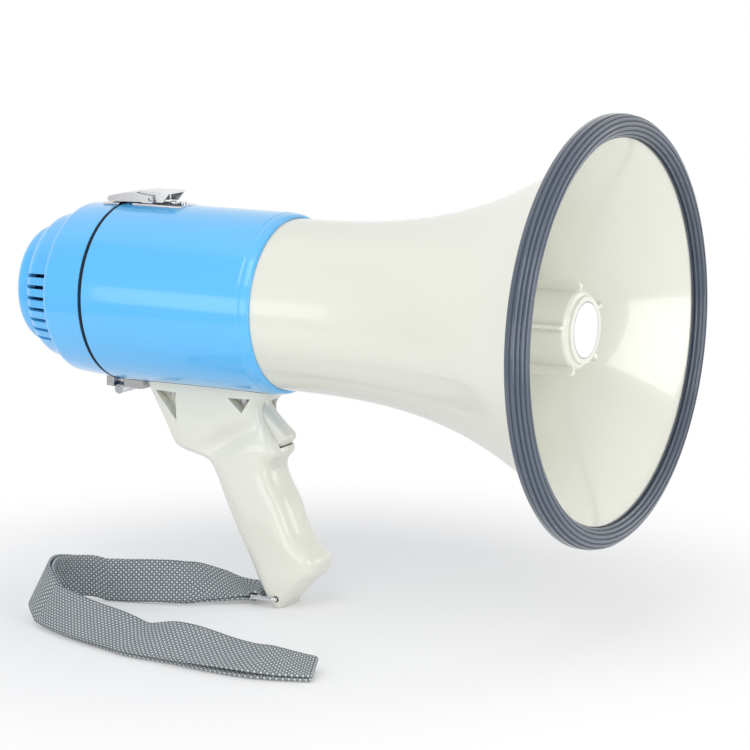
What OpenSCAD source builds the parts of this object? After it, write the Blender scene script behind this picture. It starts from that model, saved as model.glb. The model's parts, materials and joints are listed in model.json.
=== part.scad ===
// Handheld megaphone: flared horn, hinged battery cover, pistol grip with trigger, wrist strap.
// Millimetres. +X is the way the sound leaves, +Z is up, and the grip's lowest point is at Z = 0.
// Modules are drawn in the seam frame: the axis of the horn is X, and X = 0 is the body's rear edge.

/* [Horn] */
// Outside diameter of the rubber rim
mouth_d = 239; // [230:1:250]
// Length from the body's front edge to the front of the rim
horn_l = 208.5; // [200:0.5:220]
// How far the horn's neck lies inside the body's outer surface
neck_step = 3.1; // [3:0.1:4]
// How late the horn opens out
flare_power = 2.7; // [2.2:0.1:3.2]
// Wall of the horn
horn_wall = 2.5; // [2:0.1:3]
// Length of the neck inside the body
spigot_l = 14; // [10:1:16]
// Distance from the body's front edge to the bulkhead that carries the driver
bulkhead_at = 46; // [40:1:56]
// Thickness of the bulkhead
bulkhead_t = 3; // [2.5:0.5:4]

/* [Rim bumper] */
// Radial width of the bumper
bumper_w = 13; // [12:0.5:14]
// Axial thickness of the bumper
bumper_t = 11.5; // [10.5:0.5:13]
// Rubber outside the horn's edge
bumper_wall = 5.3; // [4.5:0.1:6]
// Rubber in front of the horn's edge
bumper_lip = 5; // [4.5:0.1:5.5]
// Ridges over the bumper's face
bumper_ridges = 6; // [4:1:8]
// Height of a ridge
ridge_h = 0.5; // [0.3:0.05:0.7]
// Depth to which the foremost ridge is cut flat
crest_cut = 0.15; // [0.1:0.05:0.3]

/* [Tone guide] */
// Outside diameter of the tone guide
guide_d = 44.5; // [42:0.5:46]
// Length of the tone guide's cup
guide_l = 105; // [90:1:110]
// How far its front lies behind the rim
guide_recess = 22; // [18:1:32]
// Wall of the tone guide
guide_wall = 2.2; // [1.8:0.1:2.6]
// Number of fins
fin_count = 5; // [4:1:6]
// Height of a fin over the cup
fin_h = 5; // [3:0.2:6]
// Thickness of a fin
fin_t = 2.4; // [2:0.1:3]
// Diameter of the badge disc
badge_d = 31.5; // [28:0.5:32]
// Outside diameter of the throat tube
tube_d = 22; // [20:0.5:24]
// Wall of the throat tube
tube_wall = 2.5; // [2:0.1:3]
// Length of the throat tube in front of the bulkhead
tube_l = 96; // [85:1:100]

/* [Driver] */
// Room between the driver's top plate and the horn
plate_gap = 3.4; // [3:0.1:4.5]
// Thickness of the top plate
plate_t = 4; // [3:0.5:5]
// Room between the magnet and the heads of the driver screws
magnet_gap = 1.3; // [0.8:0.1:4]
// Thickness of the magnet
magnet_t = 12; // [10:0.5:14]
// Thickness of the yoke
yoke_t = 6; // [4:0.5:7]
// Diameter of the pole
pole_d = 24; // [22:0.5:25]
// Number of driver screws
driver_screws_n = 3; // [3:1:6]

/* [Main body] */
// Outside diameter of the body
body_d = 106; // [105:0.5:110]
// Length of the body
body_l = 114; // [111:1:122]
// Wall of the body
body_wall = 2.5; // [2:0.1:2.6]
// Length over which the front edge rolls in
lip_l = 8; // [6:0.5:10]

/* [Rear cover] */
// How far the cover's front edge lies inside the body's outer surface
cover_step = 0.4; // [0.2:0.1:1]
// Drop in radius along the cover's side
side_drop = 1.6; // [1:0.1:2.5]
// Wall of the cover
cover_wall = 2.5; // [2:0.1:3]
// Distance from the seam to the end of the cover's side
cover_side = 25; // [23:0.5:26]
// Rounding at the end of the side
side_round = 5; // [4:0.5:6]
// Step from that rounding down to the vented ring
ring_step = 1.2; // [0.8:0.1:1.6]
// Length of the vented ring
ring_l = 18; // [17:0.5:20]
// Drop in radius along the vented ring
ring_drop = 1.2; // [0.5:0.1:1.6]
// Rounding at the end of the vented ring
ring_round = 7.5; // [6:0.5:8]
// Step from that rounding down to the rear cap
cap_step = 0.4; // [0.2:0.1:1]
// Length of the rear cap
cap_l = 11.5; // [10:0.5:13]
// Rounding of the rear cap's edge
cap_round = 5.4; // [4:0.2:6]
// Thickness of the seal at the seam
gasket_t = 1.8; // [1.4:0.1:2.4]
// Vents on each side
vent_count = 7; // [5:1:9]
// Width of a vent
vent_w = 2.2; // [1.6:0.1:2.8]
// Length of a vent
vent_l = 15; // [12:0.5:15.5]
// Angle from vent to vent
vent_pitch = 8.9; // [7:0.1:10]
// Angle of the middle vent from the top
vent_mid = 102; // [95:1:115]

/* [Microphone and volume] */
// Diameter of the microphone grille
grille_d = 26; // [22:1:28]
// Height of the grille over the axis
grille_up = 11; // [10:0.5:12]
// Diameter of the microphone capsule
capsule_d = 10; // [8:0.5:12]
// Diameter of the volume knob
knob_d = 17; // [14:0.5:18]
// How far the knob stands out
knob_l = 6; // [5:0.5:9]
// Drop of the knob's shaft below the axis
knob_down = 16; // [15:0.5:17]
// Diameter of the knob's shaft
shaft_d = 6; // [5:0.5:7]

/* [Batteries] */
// Diameter of a battery cell
cell_d = 26.2; // [25:0.1:27]
// Length of a battery cell
cell_l = 50; // [48:0.5:51]
// Thickness of the spine between the cells
spine_w = 2.4; // [2:0.1:3]
// How far the tray's discs reach past the cells
tray_rim = 4.6; // [3:0.2:6]
// Thickness of a tray disc
tray_t = 2.5; // [2:0.5:3]
// Thickness of a contact plate
contact_t = 0.8; // [0.5:0.1:1]

/* [Grip] */
// Half thickness of the grip at its middle
grip_half = 17; // [15:0.5:18]
// Wall of the grip
grip_wall = 2.5; // [2:0.1:3]
// Distance of a grip screw from the middle plane
screw_y = 11.5; // [11.5:0.1:12]
// Width of the trigger
trigger_w = 14; // [11:0.5:15]
// Reach of the trigger from its pin to its tip
trigger_r = 27; // [25:0.5:28]
// Diameter of the trigger pin
trigger_pin_d = 3; // [2.5:0.1:3.5]

/* [Strap] */
// Diameter of the bail's wire
wire_d = 2.5; // [2:0.1:3]
// Length of the bail's arms
bail_l = 16; // [15:0.5:20]
// Width of the webbing
strap_w = 25; // [20:0.5:26]
// Thickness of the doubled webbing
strap_t = 4; // [3:0.2:5]

/* [Latch and hinge] */
// Width of the latch's claw
claw_w = 20; // [19:0.5:22]
// Sheet thickness of the latch
sheet_t = 1.2; // [1:0.1:1.4]
// Diameter of the latch pins
latch_pin_d = 2; // [1.6:0.1:2.2]
// Reach of the claw behind the seam
claw_reach = 9; // [8.6:0.1:10]
// How deep the claw hooks behind the keeper
hook_depth = 0.5; // [0.3:0.1:0.7]
// Width of the hinge
hinge_w = 26; // [22:1:28]
// Outside radius of a hinge knuckle
knuckle_r = 2.8; // [2.6:0.1:3]
// Diameter of the hinge pin
hinge_pin_d = 2.4; // [2:0.1:2.6]

/* [Hidden] */
$fn = 96;
round_fn = 48;

// Clearances
pin_gap = 0.05;
fit_gap = 0.2;
seat_gap = 0.1;
eps = 0.5;

// Colours
cream = [0.90, 0.90, 0.86];
blue = [0.42, 0.74, 0.98];
slate = [0.37, 0.43, 0.51];
chrome = [0.80, 0.81, 0.83];
black = [0.07, 0.07, 0.09];
steel = [0.55, 0.56, 0.58];
brass = [0.80, 0.66, 0.36];

// Body, horn and bumper
body_r = body_d / 2;
body_ri = body_r - body_wall;
neck_r = body_r - neck_step;
mouth_r = mouth_d / 2;
mouth_x = body_l + horn_l;
flange_r = mouth_r - bumper_wall;
flange_front = mouth_x - bumper_lip;
flange_back = flange_front - horn_wall;
flange_step = 5;
flare_end_r = flange_r - flange_step;
flare_l = flange_back - body_l;
flare_steps = 18;
bulkhead_x = body_l + bulkhead_at;
bulkhead_front = bulkhead_x + bulkhead_t;

// Tone guide and driver
guide_r = guide_d / 2;
guide_front = mouth_x - guide_recess;
guide_rear = guide_front - guide_l;
badge_t = 1.2;
badge_seat = 1;
badge_ring = 3.2;
tube_r = tube_d / 2;
tube_flange_t = 3.2;
tube_flange_r = 30;
diaphragm_t = 0.8;
plate_front = bulkhead_x - tube_flange_t - diaphragm_t;
plate_rear = plate_front - plate_t;
magnet_rear = plate_rear - magnet_t;
yoke_rear = magnet_rear - yoke_t;
coil_gap = 1.5;
plate_r = neck_r - horn_wall - plate_gap;
screw_inset = 3.5;
driver_screw_r = plate_r - screw_inset;
driver_screw_d = 4;
driver_head_r = 3.2;
driver_head_h = 2.6;
magnet_r = driver_screw_r - driver_head_r - magnet_gap;
magnet_in = pole_d / 2 + 6;

// Cover
edge_r = body_r - cover_step;
cover_r = edge_r - side_drop;
cover_front = -gasket_t - fit_gap;
side_end = -cover_side;
ring_x = side_end - side_round;
ring_r = cover_r - side_round - ring_step;
ring_end_r = ring_r - ring_drop;
cap_x = ring_x - ring_l;
cap_r = ring_end_r - ring_round - cap_step;
rear_x = cap_x - cap_l;
seal_in = 3;
seal_out = 0.3;

// Electronics in the cover
board_t = 1.6;
board_x = -12;
ledge_w = 5;
ledge_t = 3;
board_r = cover_r - cover_wall - fit_gap;
ledge_in = board_r - ledge_w;
board_screw_r = board_r - 2.4;
board_screw_d = 2.4;
part_gap = 2.5;
coil_w = 24;
coil_h = 20;
coil_l = 16;
coil_low = -sqrt(pow(ledge_in - part_gap, 2) - pow(coil_w / 2, 2));
can_y = 20;
can_r = 6;
can_l = 18;
can_down = 8;
chip_w = 16;
chip_h = 12;
chip_t = 3;
sink_half = 19;
sink_low = 14;
sink_top = sqrt(pow(ledge_in - part_gap - 1, 2) - pow(sink_half, 2));
sink_l = 16;
sink_t = 2;
sink_fin = 1.5;
grille_t = 1.6;
grille_seat = 1.2;
capsule_l = 7;
control_w = 17;
control_l = 9;
shaft_in = 7;
knob_x = rear_x - 0.3;
knob_end_x = rear_x - knob_l;

// Batteries
cell_ring_r = (cell_d + spine_w + 2 * fit_gap) / sqrt(2);
tray_r = cell_ring_r + cell_d / 2 + tray_rim;
tray_start = 3.5;
cell_1_x = tray_start + tray_t + contact_t;
tray_mid_x = cell_1_x + cell_l + contact_t;
cell_2_x = tray_mid_x + tray_t + contact_t;
tray_end_x = cell_2_x + cell_l + contact_t;
rail_w = 3;
rail_l = body_l - spigot_l - 6;

// Depth of the bail's pin below the body
bail_down = 120;

// Grip: depth below the body, rear edge, front edge and half thickness as a share of the middle's
grip_table = [
    [-6, 14, 105, 1], [1.5, 17.5, 102, 1], [7.5, 21, 96.5, 1], [13.5, 24.5, 97, 1], [21.5, 29, 102, 1],
    [30.5, 34, 107, 1], [34.5, 39.5, 107.5, 1], [37, 49.5, 106, 1], [39.5, 58.5, 104, 1], [43.5, 62, 103, 0.98],
    [65, 72, 113, 0.97], [82, 80, 120.5, 0.95], [bail_down - 30, 84, 127, 0.94],
    [bail_down - 24, 87, 133, 0.93], [bail_down - 18, 90, 133, 0.91], [bail_down - 11, 93.5, 126, 0.88],
    [bail_down - 4, 97.5, 118.5, 0.82], [bail_down + 2, 101, 113, 0.76], [bail_down + 5.5, 105, 109.5, 0.65]
];
grip_depth = grip_table[len(grip_table) - 1][0];
cavity_end = bail_down - 22;
grip_square = 4;
grip_sides = 28;
screw_x = [38, 87];
screw_d = 3;
screw_head_d = 6;
screw_head_h = 2.4;
saddle_t = 2.5;
seat_z = -body_r - saddle_t;
pocket_in = screw_y - screw_head_d / 2 - 0.2;
pocket_wall = 2;
pockets = [
    [[26.6, seat_z], [42, seat_z], [42, seat_z - 17]],
    [[78, seat_z], [92, seat_z], [86.5, seat_z - 8.5]]
];
slot_back = 86.5;
wire_hole_x = 58;
boss_r = 3.8;
boss_top = 7;
trigger_x = 91.5;
trigger_z = -body_r - 9;
trigger_gap = 0.6;
trigger_boss_r = 4.2;
pin_half = grip_half * 0.7;
switch_x = 70;
switch_l = 14;
switch_w = 6.4;
switch_h = 14;
switch_z = trigger_z - 12;
rib_t = 3.5;
plunger_end = trigger_x - 4;
bail_x = 108;
bail_z = -body_r - bail_down;

// Where the seam frame sits in the part: the box's middle and the grip's foot are at the origin
axis_z = body_r + grip_depth;
seam_x = -(mouth_x + knob_end_x) / 2;
bar_x = bail_x - bail_l;
wire_r = wire_d / 2;
wire_bend = wire_r + 0.35;
bail_gap = 0.3;
bail_half = max(grip_half * 0.78, strap_w / 2) + bail_gap + wire_bend;
eye_hole_r = wire_r + 0.25;
eye_r = eye_hole_r + strap_t / 2;
eye_half = strap_w / 2 - 1;

// Strap in the part's frame: X, Y, height of its middle where it is held up, and lean of the webbing
bar_z = axis_z + bail_z;
strap_route = [
    [seam_x + bar_x - 2, 0, bar_z, 180], [seam_x + bar_x - 9, -1, bar_z, 174],
    [-56, -10, 9, 156], [-75, -27, 11.5, 122], [-98, -39, 0, 96], [-118, -48, 13.5, 82], [-132, -58, 16, 75],
    [-137, -74, 19, 68], [-132, -91, 18, 63], [-118, -106, 14, 57], [-100, -116, 0, 51], [-75, -125, 0, 41],
    [-48, -132, 0, 33], [-28, -136, 0, 30], [6, -139, 0, 33], [40, -139, 0, 20], [56, -136, 0, 18],
    [73, -129, 0, 9]
];
strap_steps = 4;
floor_gap = 0.2;

// Latch: pivot of the lever on its base, and pivot of the claw on the lever
lever_pivot = [16.5, body_r + 4.6];
claw_pivot = [21, body_r + 3.4];
claw_in = claw_w / 2 - sheet_t;
lever_out = claw_in - 0.3;
lever_in = lever_out - sheet_t;
ear_out = lever_in - 0.3;
latch_r = latch_pin_d / 2;
base_t = 1;
base_x = [8, 42];
base_half = 9;
keeper_x = -2.3;
keeper_l = 11;
keeper_lip = 1;
lip_top = edge_r + 2.8;
rivet_x = [31, 38];
rivet_r = 1.3;
rivet_head_r = 2.3;
rivet_head_h = 1;
keeper_rivet_x = -7.5;
keeper_rivet_y = 4.5;
hook_half = 6;
plate_rise = 1.1;
lever_x = [13, 34];
lever_under = body_r + 6.7;
claw_front = [claw_pivot[0] - 9.2, claw_pivot[1] + 2.7];
claw_rear = [-claw_reach, edge_r + 5.1];

// Hinge
hinge_x = cover_front / 2;
hinge_z = -body_r - 5;
leaf_t = 1.2;
leaf_top = hinge_z + knuckle_r;
leaf_rise = leaf_t + 6;
leaf_front = 16.5;
leaf_rear = -9.5;
middle_half = 4;
knuckle_gap = 0.3;
hinge_rivet_x = [11, -7];
hinge_rivet_y = 8;
leaf_start = [3, hinge_x - knuckle_r - 0.5];

// Outside radius of the cover's side at x
function cover_at(x) = edge_r - side_drop * (cover_front - x) / (cover_front - side_end);

// Points on an arc of an ellipse
function arc(cx, cy, rx, ry, a0, a1, n) =
    [for (i = [0:n]) let (a = a0 + (a1 - a0) * i / n) [cx + rx * cos(a), cy + ry * sin(a)]];
function horn_r(u) = neck_r + (flare_end_r - neck_r) * pow(u / flare_l, flare_power);
function power(v, p) = sign(v) * pow(abs(v), p);
function grip_at(s, k) = lookup(s, [for (g = grip_table) [g[0], g[k]]]);

// One level of the grip: a rounded rectangle at depth s, drawn in by w
function grip_ring(s, w) =
    let (
        back = max(grip_at(s, 1), grip_at(s + w, 1)) + w,
        front = min(grip_at(s, 2), grip_at(s + w, 2)) - w,
        half = grip_half * grip_at(s, 3) - w
    )
    [for (i = [0:grip_sides - 1]) let (a = -360 * (i + 0.5) / grip_sides)
        [(front + back) / 2 + (front - back) / 2 * power(cos(a), 2 / grip_square),
         half * power(sin(a), 2 / grip_square), -body_r - s]];

// An outline moved out by w along both axes from its own box
function grown(p, w) = [
    [p[0][0] - 2 * w, p[0][1] + w], [p[1][0] + w, p[1][1] + w],
    [p[2][0] + w, p[2][1] - 2 * w], [p[0][0] - 2 * w, p[0][1] - w]
];

// A smooth way along the strap's points, and the rectangle of webbing there
function curve(a, b, c, d, k) =
    b + (c - a) * k / 2 + (2 * a - 5 * b + 4 * c - d) * k * k / 2 + (3 * b - a - 3 * c + d) * k * k * k / 2;
function strap_at(u) =
    let (
        last = len(strap_route) - 1,
        i = min(floor(u), last - 1),
        p = curve(
            strap_route[max(i - 1, 0)], strap_route[i], strap_route[i + 1], strap_route[min(i + 2, last)], u - i
        ),
        lie = strap_w / 2 * abs(sin(p[3])) + strap_t / 2 * abs(cos(p[3])) + floor_gap
    )
    [p[0], p[1], max(p[2], lie), p[3]];
function unit(v) = v / norm(v);
function strap_ring(centres, i) =
    let (
        c = centres[i],
        way = centres[min(i + 1, len(centres) - 1)] - centres[max(i - 1, 0)],
        ahead = unit([way[0], way[1], 0]),
        left = [-ahead[1], ahead[0], 0],
        across = left * cos(c[3]) + [0, 0, sin(c[3])],
        through = cross(ahead, across),
        middle = [c[0], c[1], c[2]]
    )
    [for (k = [[1, 1], [-1, 1], [-1, -1], [1, -1]])
        middle + across * k[0] * strap_w / 2 + through * k[1] * strap_t / 2];

// Faces of a tube of rings with n points each, and flat ends
function tube_faces(rings, n) = concat(
    [for (r = [0:rings - 2], i = [0:n - 1]) each [
        [r * n + i, (r + 1) * n + i, (r + 1) * n + (i + 1) % n],
        [r * n + i, (r + 1) * n + (i + 1) % n, r * n + (i + 1) % n]]],
    [[for (i = [0:n - 1]) i]],
    [[for (i = [0:n - 1]) rings * n - 1 - i]]
);

module placed() {
    translate([seam_x, 0, axis_z]) children();
}

// A solid of revolution about the horn's axis, from points [radius, x]
module lathe(points) {
    rotate([0, 90, 0]) rotate_extrude() polygon(points);
}

// A plate from y0 to y1 with its outline in X and Z
module slab(y0, y1, points) {
    translate([0, y1, 0]) rotate([90, 0, 0]) linear_extrude(y1 - y0) polygon(points);
}

// A pair of like plates on both sides of the middle plane
module cheeks(inner, outer, points) {
    slab(inner, outer, points);
    slab(-outer, -inner, points);
}

module pin_y(x, z, r, y0, y1) {
    translate([x, y1, z]) rotate([90, 0, 0]) cylinder(r = r, h = y1 - y0, $fn = round_fn);
}

module pin_x(x0, x1, y, z, r) {
    translate([x0, y, z]) rotate([0, 90, 0]) cylinder(r = r, h = x1 - x0, $fn = round_fn);
}

module pin_z(x, y, z0, z1, r) {
    translate([x, y, z0]) cylinder(r = r, h = z1 - z0, $fn = round_fn);
}

// A curved sheet about the axis, of radius r0 at x0 and r1 at x1, cut to a rectangle on its upper side
module saddle_sheet(r0, r1, t, x0, x1, half) {
    intersection() {
        lathe([[r0, x0], [r0 + t, x0], [r1 + t, x1], [r1, x1]]);
        translate([x0, -half, 0]) cube([x1 - x0, 2 * half, max(r0, r1) + 2 * t]);
    }
}

// A rivet with its outer head above z1 and its closing head below z0
module rivet(x, y, z0, z1, r) {
    pin_z(x, y, z0 - rivet_head_h, z0, rivet_head_r);
    pin_z(x, y, z0, z1, r);
    pin_z(x, y, z1, z1 + rivet_head_h, rivet_head_r);
}

module loft(from, to, w) {
    levels = [for (g = grip_table) if (g[0] > from && g[0] < to) g[0]];
    all_levels = concat([from], levels, [to]);
    points = [for (s = all_levels) each grip_ring(s, w)];
    polyhedron(points, tube_faces(len(all_levels), grip_sides), convexity = 6);
}

module horn() {
    color(cream) placed() lathe(concat(
        [[neck_r, body_l - spigot_l]],
        [for (i = [0:flare_steps]) let (u = flare_l * i / flare_steps) [horn_r(u), body_l + u]],
        [[flange_r, flange_back], [flange_r, flange_front], [flare_end_r, flange_front]],
        [for (i = [flare_steps:-1:0]) let (u = flare_l * i / flare_steps)
            [horn_r(u) - horn_wall, body_l + u]],
        [[neck_r - horn_wall, body_l - spigot_l]]
    ));
}

// A disc wedged in the horn's taper, with bosses for the driver's screws
module horn_bulkhead() {
    wedge_r = horn_r(bulkhead_at) - horn_wall - seat_gap;
    color(cream) placed() difference() {
        union() {
            lathe([
                [tube_r + seat_gap, bulkhead_x], [wedge_r, bulkhead_x],
                [wedge_r, bulkhead_front], [tube_r + seat_gap, bulkhead_front]
            ]);
            for (i = [0:driver_screws_n - 1])
                rotate([360 * i / driver_screws_n, 0, 0])
                    pin_x(plate_front, bulkhead_x + eps, 0, driver_screw_r, driver_screw_d);
        }
        for (i = [0:driver_screws_n - 1])
            rotate([360 * i / driver_screws_n, 0, 0])
                pin_x(plate_front - 1, bulkhead_front + 1, 0, driver_screw_r, driver_screw_d / 2 + pin_gap);
    }
}

module rim_bumper() {
    mid_r = mouth_r - bumper_w / 2;
    mid_x = mouth_x - bumper_w / 2;
    steps = 10 * bumper_ridges;
    color(slate) placed() difference() {
        lathe(concat(
            [for (i = [0:steps]) let (
                a = 180 * i / steps,
                rise = ridge_h * (cos(360 * bumper_ridges * i / steps) - 1) / 2
            ) [
                mid_r - (bumper_w / 2 + rise) * cos(a),
                min(mouth_x, mid_x + (bumper_w / 2 + rise) * sin(a) + crest_cut)
            ]],
            [[mouth_r, mouth_x - bumper_t + 1], [mouth_r - 1, mouth_x - bumper_t]],
            [[mid_r - bumper_w / 2, mouth_x - bumper_t]]
        ));
        lathe([
            [mouth_r - bumper_w - 1, flange_back - seat_gap], [flange_r + seat_gap, flange_back - seat_gap],
            [flange_r + seat_gap, flange_front + seat_gap], [mouth_r - bumper_w - 1, flange_front + seat_gap]
        ]);
        lathe([
            [mouth_r - bumper_w - 1, mouth_x - bumper_t - 1], [flare_end_r + 0.5, mouth_x - bumper_t - 1],
            [flare_end_r + 0.5, flange_back], [mouth_r - bumper_w - 1, flange_back]
        ]);
    }
}

module tone_guide() {
    fin_r = guide_r + fin_h;
    fin_end = guide_front - 5;
    fin_round = 3;
    inner = guide_r - guide_wall;
    ring_r = badge_d / 2 + badge_ring;
    edge = guide_r - ring_r;
    seat = badge_d / 2 + seat_gap;
    color(cream) placed() {
        lathe(concat(
            [[guide_r, guide_rear]],
            arc(guide_r - edge, guide_front - 2 - edge, edge, edge, 0, 90, 6),
            [[ring_r, guide_front - 2], [ring_r, guide_front]],
            [[seat, guide_front], [seat, guide_front - badge_seat]],
            [[0, guide_front - badge_seat], [0, guide_front - badge_seat - guide_wall]],
            [[inner - edge, guide_front - 2 - guide_wall], [inner, guide_front - 2 - edge - guide_wall]],
            [[inner, guide_rear]]
        ));
        lathe([
            [tube_r + seat_gap, bulkhead_front], [fin_r, bulkhead_front],
            [fin_r, bulkhead_front + 3], [tube_r + seat_gap, bulkhead_front + 3]
        ]);
        for (i = [0:fin_count - 1])
            rotate([360 * i / fin_count, 0, 0])
                slab(-fin_t / 2, fin_t / 2, concat(
                    [[bulkhead_front + 1, guide_r - 1], [bulkhead_front + 1, fin_r]],
                    arc(fin_end - fin_round, fin_r - fin_round, fin_round, fin_round, 90, 0, 5),
                    [[fin_end, guide_r - 1]]
                ));
    }
}

module badge_disc() {
    color("white") placed() lathe(concat(
        [[0, guide_front - badge_seat], [badge_d / 2, guide_front - badge_seat]],
        arc(badge_d / 2 - 0.4, guide_front - badge_seat + badge_t - 0.4, 0.4, 0.4, 0, 90, 3),
        [[0, guide_front - badge_seat + badge_t]]
    ));
}

module throat_tube() {
    inner = tube_r - tube_wall;
    entry = 14;
    color([0.2, 0.2, 0.22]) placed() lathe([
        [entry, bulkhead_x - tube_flange_t], [tube_flange_r, bulkhead_x - tube_flange_t],
        [tube_flange_r, bulkhead_x], [tube_r, bulkhead_x], [tube_r, bulkhead_front + tube_l],
        [inner, bulkhead_front + tube_l], [inner, bulkhead_x]
    ]);
}

module driver_plate() {
    color(steel) placed() difference() {
        lathe([
            [pole_d / 2 + coil_gap, plate_rear], [plate_r, plate_rear],
            [plate_r, plate_front], [pole_d / 2 + coil_gap, plate_front]
        ]);
        for (i = [0:driver_screws_n - 1])
            rotate([360 * i / driver_screws_n, 0, 0])
                pin_x(plate_rear - 1, plate_front + 1, 0, driver_screw_r, driver_screw_d / 2 + pin_gap);
    }
}

module driver_magnet() {
    color([0.18, 0.18, 0.19]) placed() lathe([
        [magnet_in, magnet_rear], [magnet_r, magnet_rear],
        [magnet_r, plate_rear], [magnet_in, plate_rear]
    ]);
}

module driver_yoke() {
    color(steel) placed() lathe([
        [0, yoke_rear], [magnet_r - 1, yoke_rear],
        [magnet_r, yoke_rear + 1], [magnet_r, magnet_rear],
        [pole_d / 2, magnet_rear], [pole_d / 2, plate_front - 1], [0, plate_front - 1]
    ]);
}

// A clamped edge, a dome and the coil former that reaches into the magnet's gap
module driver_diaphragm() {
    coil_r = pole_d / 2 + coil_gap / 2;
    coil_l = 7;
    rise = 2.2;
    edge_x = plate_front;
    color(brass) placed() lathe(concat(
        [[coil_r + 0.3, edge_x], [tube_flange_r, edge_x], [tube_flange_r, edge_x + diaphragm_t]],
        [[coil_r, edge_x + diaphragm_t]],
        [for (i = [1:6]) let (k = i / 6) [coil_r * (1 - k), edge_x + diaphragm_t + rise * (1 - pow(1 - k, 2))]],
        [for (i = [6:-1:0]) let (k = i / 6)
            [(coil_r - 0.3) * (1 - k), edge_x + 0.2 + rise * (1 - pow(1 - k, 2))]],
        [[coil_r - 0.3, edge_x - coil_l], [coil_r + 0.3, edge_x - coil_l]]
    ));
}

module driver_screws() {
    color(steel) placed() for (i = [0:driver_screws_n - 1])
        rotate([360 * i / driver_screws_n, 0, 0]) {
            pin_x(plate_rear - driver_head_h, plate_rear, 0, driver_screw_r, driver_head_r);
            pin_x(plate_rear, bulkhead_front, 0, driver_screw_r, driver_screw_d / 2);
        }
}

module main_body() {
    lip_r = neck_r + fit_gap;
    lip_edge = 0.5;
    color(blue) placed() difference() {
        union() {
            lathe(concat(
                [[body_ri, 0], [body_r, 0]],
                arc(lip_r + lip_edge, body_l - lip_l, body_r - lip_r - lip_edge, lip_l, 0, 90, 8),
                [[lip_r, body_l], [lip_r, body_l - lip_l - 2], [body_ri, body_l - lip_l - 4]]
            ));
            for (a = [45:90:315])
                rotate([a, 0, 0])
                    translate([tray_start, -rail_w / 2, tray_r + fit_gap])
                        cube([rail_l - tray_start, rail_w, body_ri - tray_r - fit_gap + eps]);
            for (x = screw_x, y = [-screw_y, screw_y])
                pin_z(x, y, -body_ri + 0.6, -body_ri + boss_top, boss_r);
        }
        for (x = screw_x, y = [-screw_y, screw_y])
            pin_z(x, y, -body_r - 1, -body_ri + boss_top - 1, screw_d / 2 + pin_gap);
        for (x = rivet_x)
            pin_z(x, 0, body_ri - 2, body_r + 1, rivet_r + pin_gap);
        for (y = [-hinge_rivet_y, hinge_rivet_y])
            pin_z(hinge_rivet_x[0], y, leaf_top - 1, -body_ri + 4, rivet_r + pin_gap);
    }
}

module cover_gasket() {
    color(black) placed() lathe([
        [body_ri - seal_in, -gasket_t], [body_r - seal_out, -gasket_t],
        [body_r - seal_out, 0], [body_ri - seal_in, 0]
    ]);
}

// A slot with round ends along X, cut through the vented ring at the top
module vent() {
    tip = (vent_l - vent_w) / 2;
    low = cap_r - 1;
    high = ring_r + 2;
    translate([(ring_x + cap_x) / 2, 0, 0]) {
        translate([-tip, -vent_w / 2, low]) cube([2 * tip, vent_w, high - low]);
        for (x = [-tip, tip]) pin_z(x, 0, low, high, vent_w / 2);
    }
}

// Half outline of the cover's outside, or of its inside with w as the wall
function cover_outline(w) = concat(
    [[edge_r - w, cover_front]],
    arc(cover_r - side_round, side_end, side_round - w, -side_round + w, 0, 90, 6),
    [[ring_r - w, ring_x + w]],
    arc(ring_end_r - ring_round, cap_x + ring_round, ring_round - w, -ring_round + w, 0, 90, 6),
    [[cap_r - w, cap_x + w]],
    arc(cap_r - cap_round, rear_x + cap_round, cap_round - w, -cap_round + w, 0, 90, 6),
    [[0, rear_x + w]]
);
function turned_back(list) = [for (i = [len(list) - 1:-1:0]) list[i]];

module rear_cover() {
    inner_x = rear_x + cover_wall;
    side_in = cover_r - cover_wall;
    color(blue) placed() difference() {
        union() {
            lathe(concat(cover_outline(0), turned_back(cover_outline(cover_wall))));
            lathe([
                [ledge_in, board_x - ledge_t], [cover_at(board_x) - cover_wall + eps, board_x - ledge_t],
                [cover_at(board_x) - cover_wall + eps, board_x], [ledge_in, board_x]
            ]);
            pin_x(inner_x - eps, inner_x + capsule_l - 1, 0, grille_up, capsule_d / 2 + 2);
        }
        for (side = [-1, 1], i = [0:vent_count - 1])
            rotate([side * (vent_mid + vent_pitch * (i - (vent_count - 1) / 2)), 0, 0]) vent();
        pin_x(inner_x, inner_x + capsule_l, 0, grille_up, capsule_d / 2 + pin_gap);
        pin_x(rear_x - 1, inner_x + 1, 0, grille_up, capsule_d / 2 - 1);
        pin_x(rear_x - 1, rear_x + grille_seat, 0, grille_up, grille_d / 2 + seat_gap);
        pin_x(rear_x - 1, inner_x + 1, 0, -knob_down, shaft_d / 2 + 0.5);
        for (a = [0:120:240])
            rotate([a, 0, 0])
                pin_x(board_x - ledge_t - 1, board_x + 1, 0, board_screw_r, board_screw_d / 2 + pin_gap);
        for (y = [-keeper_rivet_y, keeper_rivet_y])
            pin_z(keeper_rivet_x, y, side_in - 4, edge_r + 1, rivet_r + pin_gap);
        for (y = [-hinge_rivet_y, hinge_rivet_y])
            pin_z(hinge_rivet_x[1], y, leaf_top - 1, -side_in + 4, rivet_r + pin_gap);
    }
}

module mic_grille() {
    hole_r = 0.8;
    row = 3;
    color(black) placed() difference() {
        pin_x(rear_x + grille_seat - grille_t, rear_x + grille_seat, 0, grille_up, grille_d / 2);
        for (k = [0:3], i = [0:max(6 * k - 1, 0)])
            translate([0, 0, grille_up])
                rotate([k == 0 ? 0 : 60 * i / k, 0, 0])
                    pin_x(rear_x - 1, rear_x + grille_seat + 1, 0, row * k, hole_r);
    }
}

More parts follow.
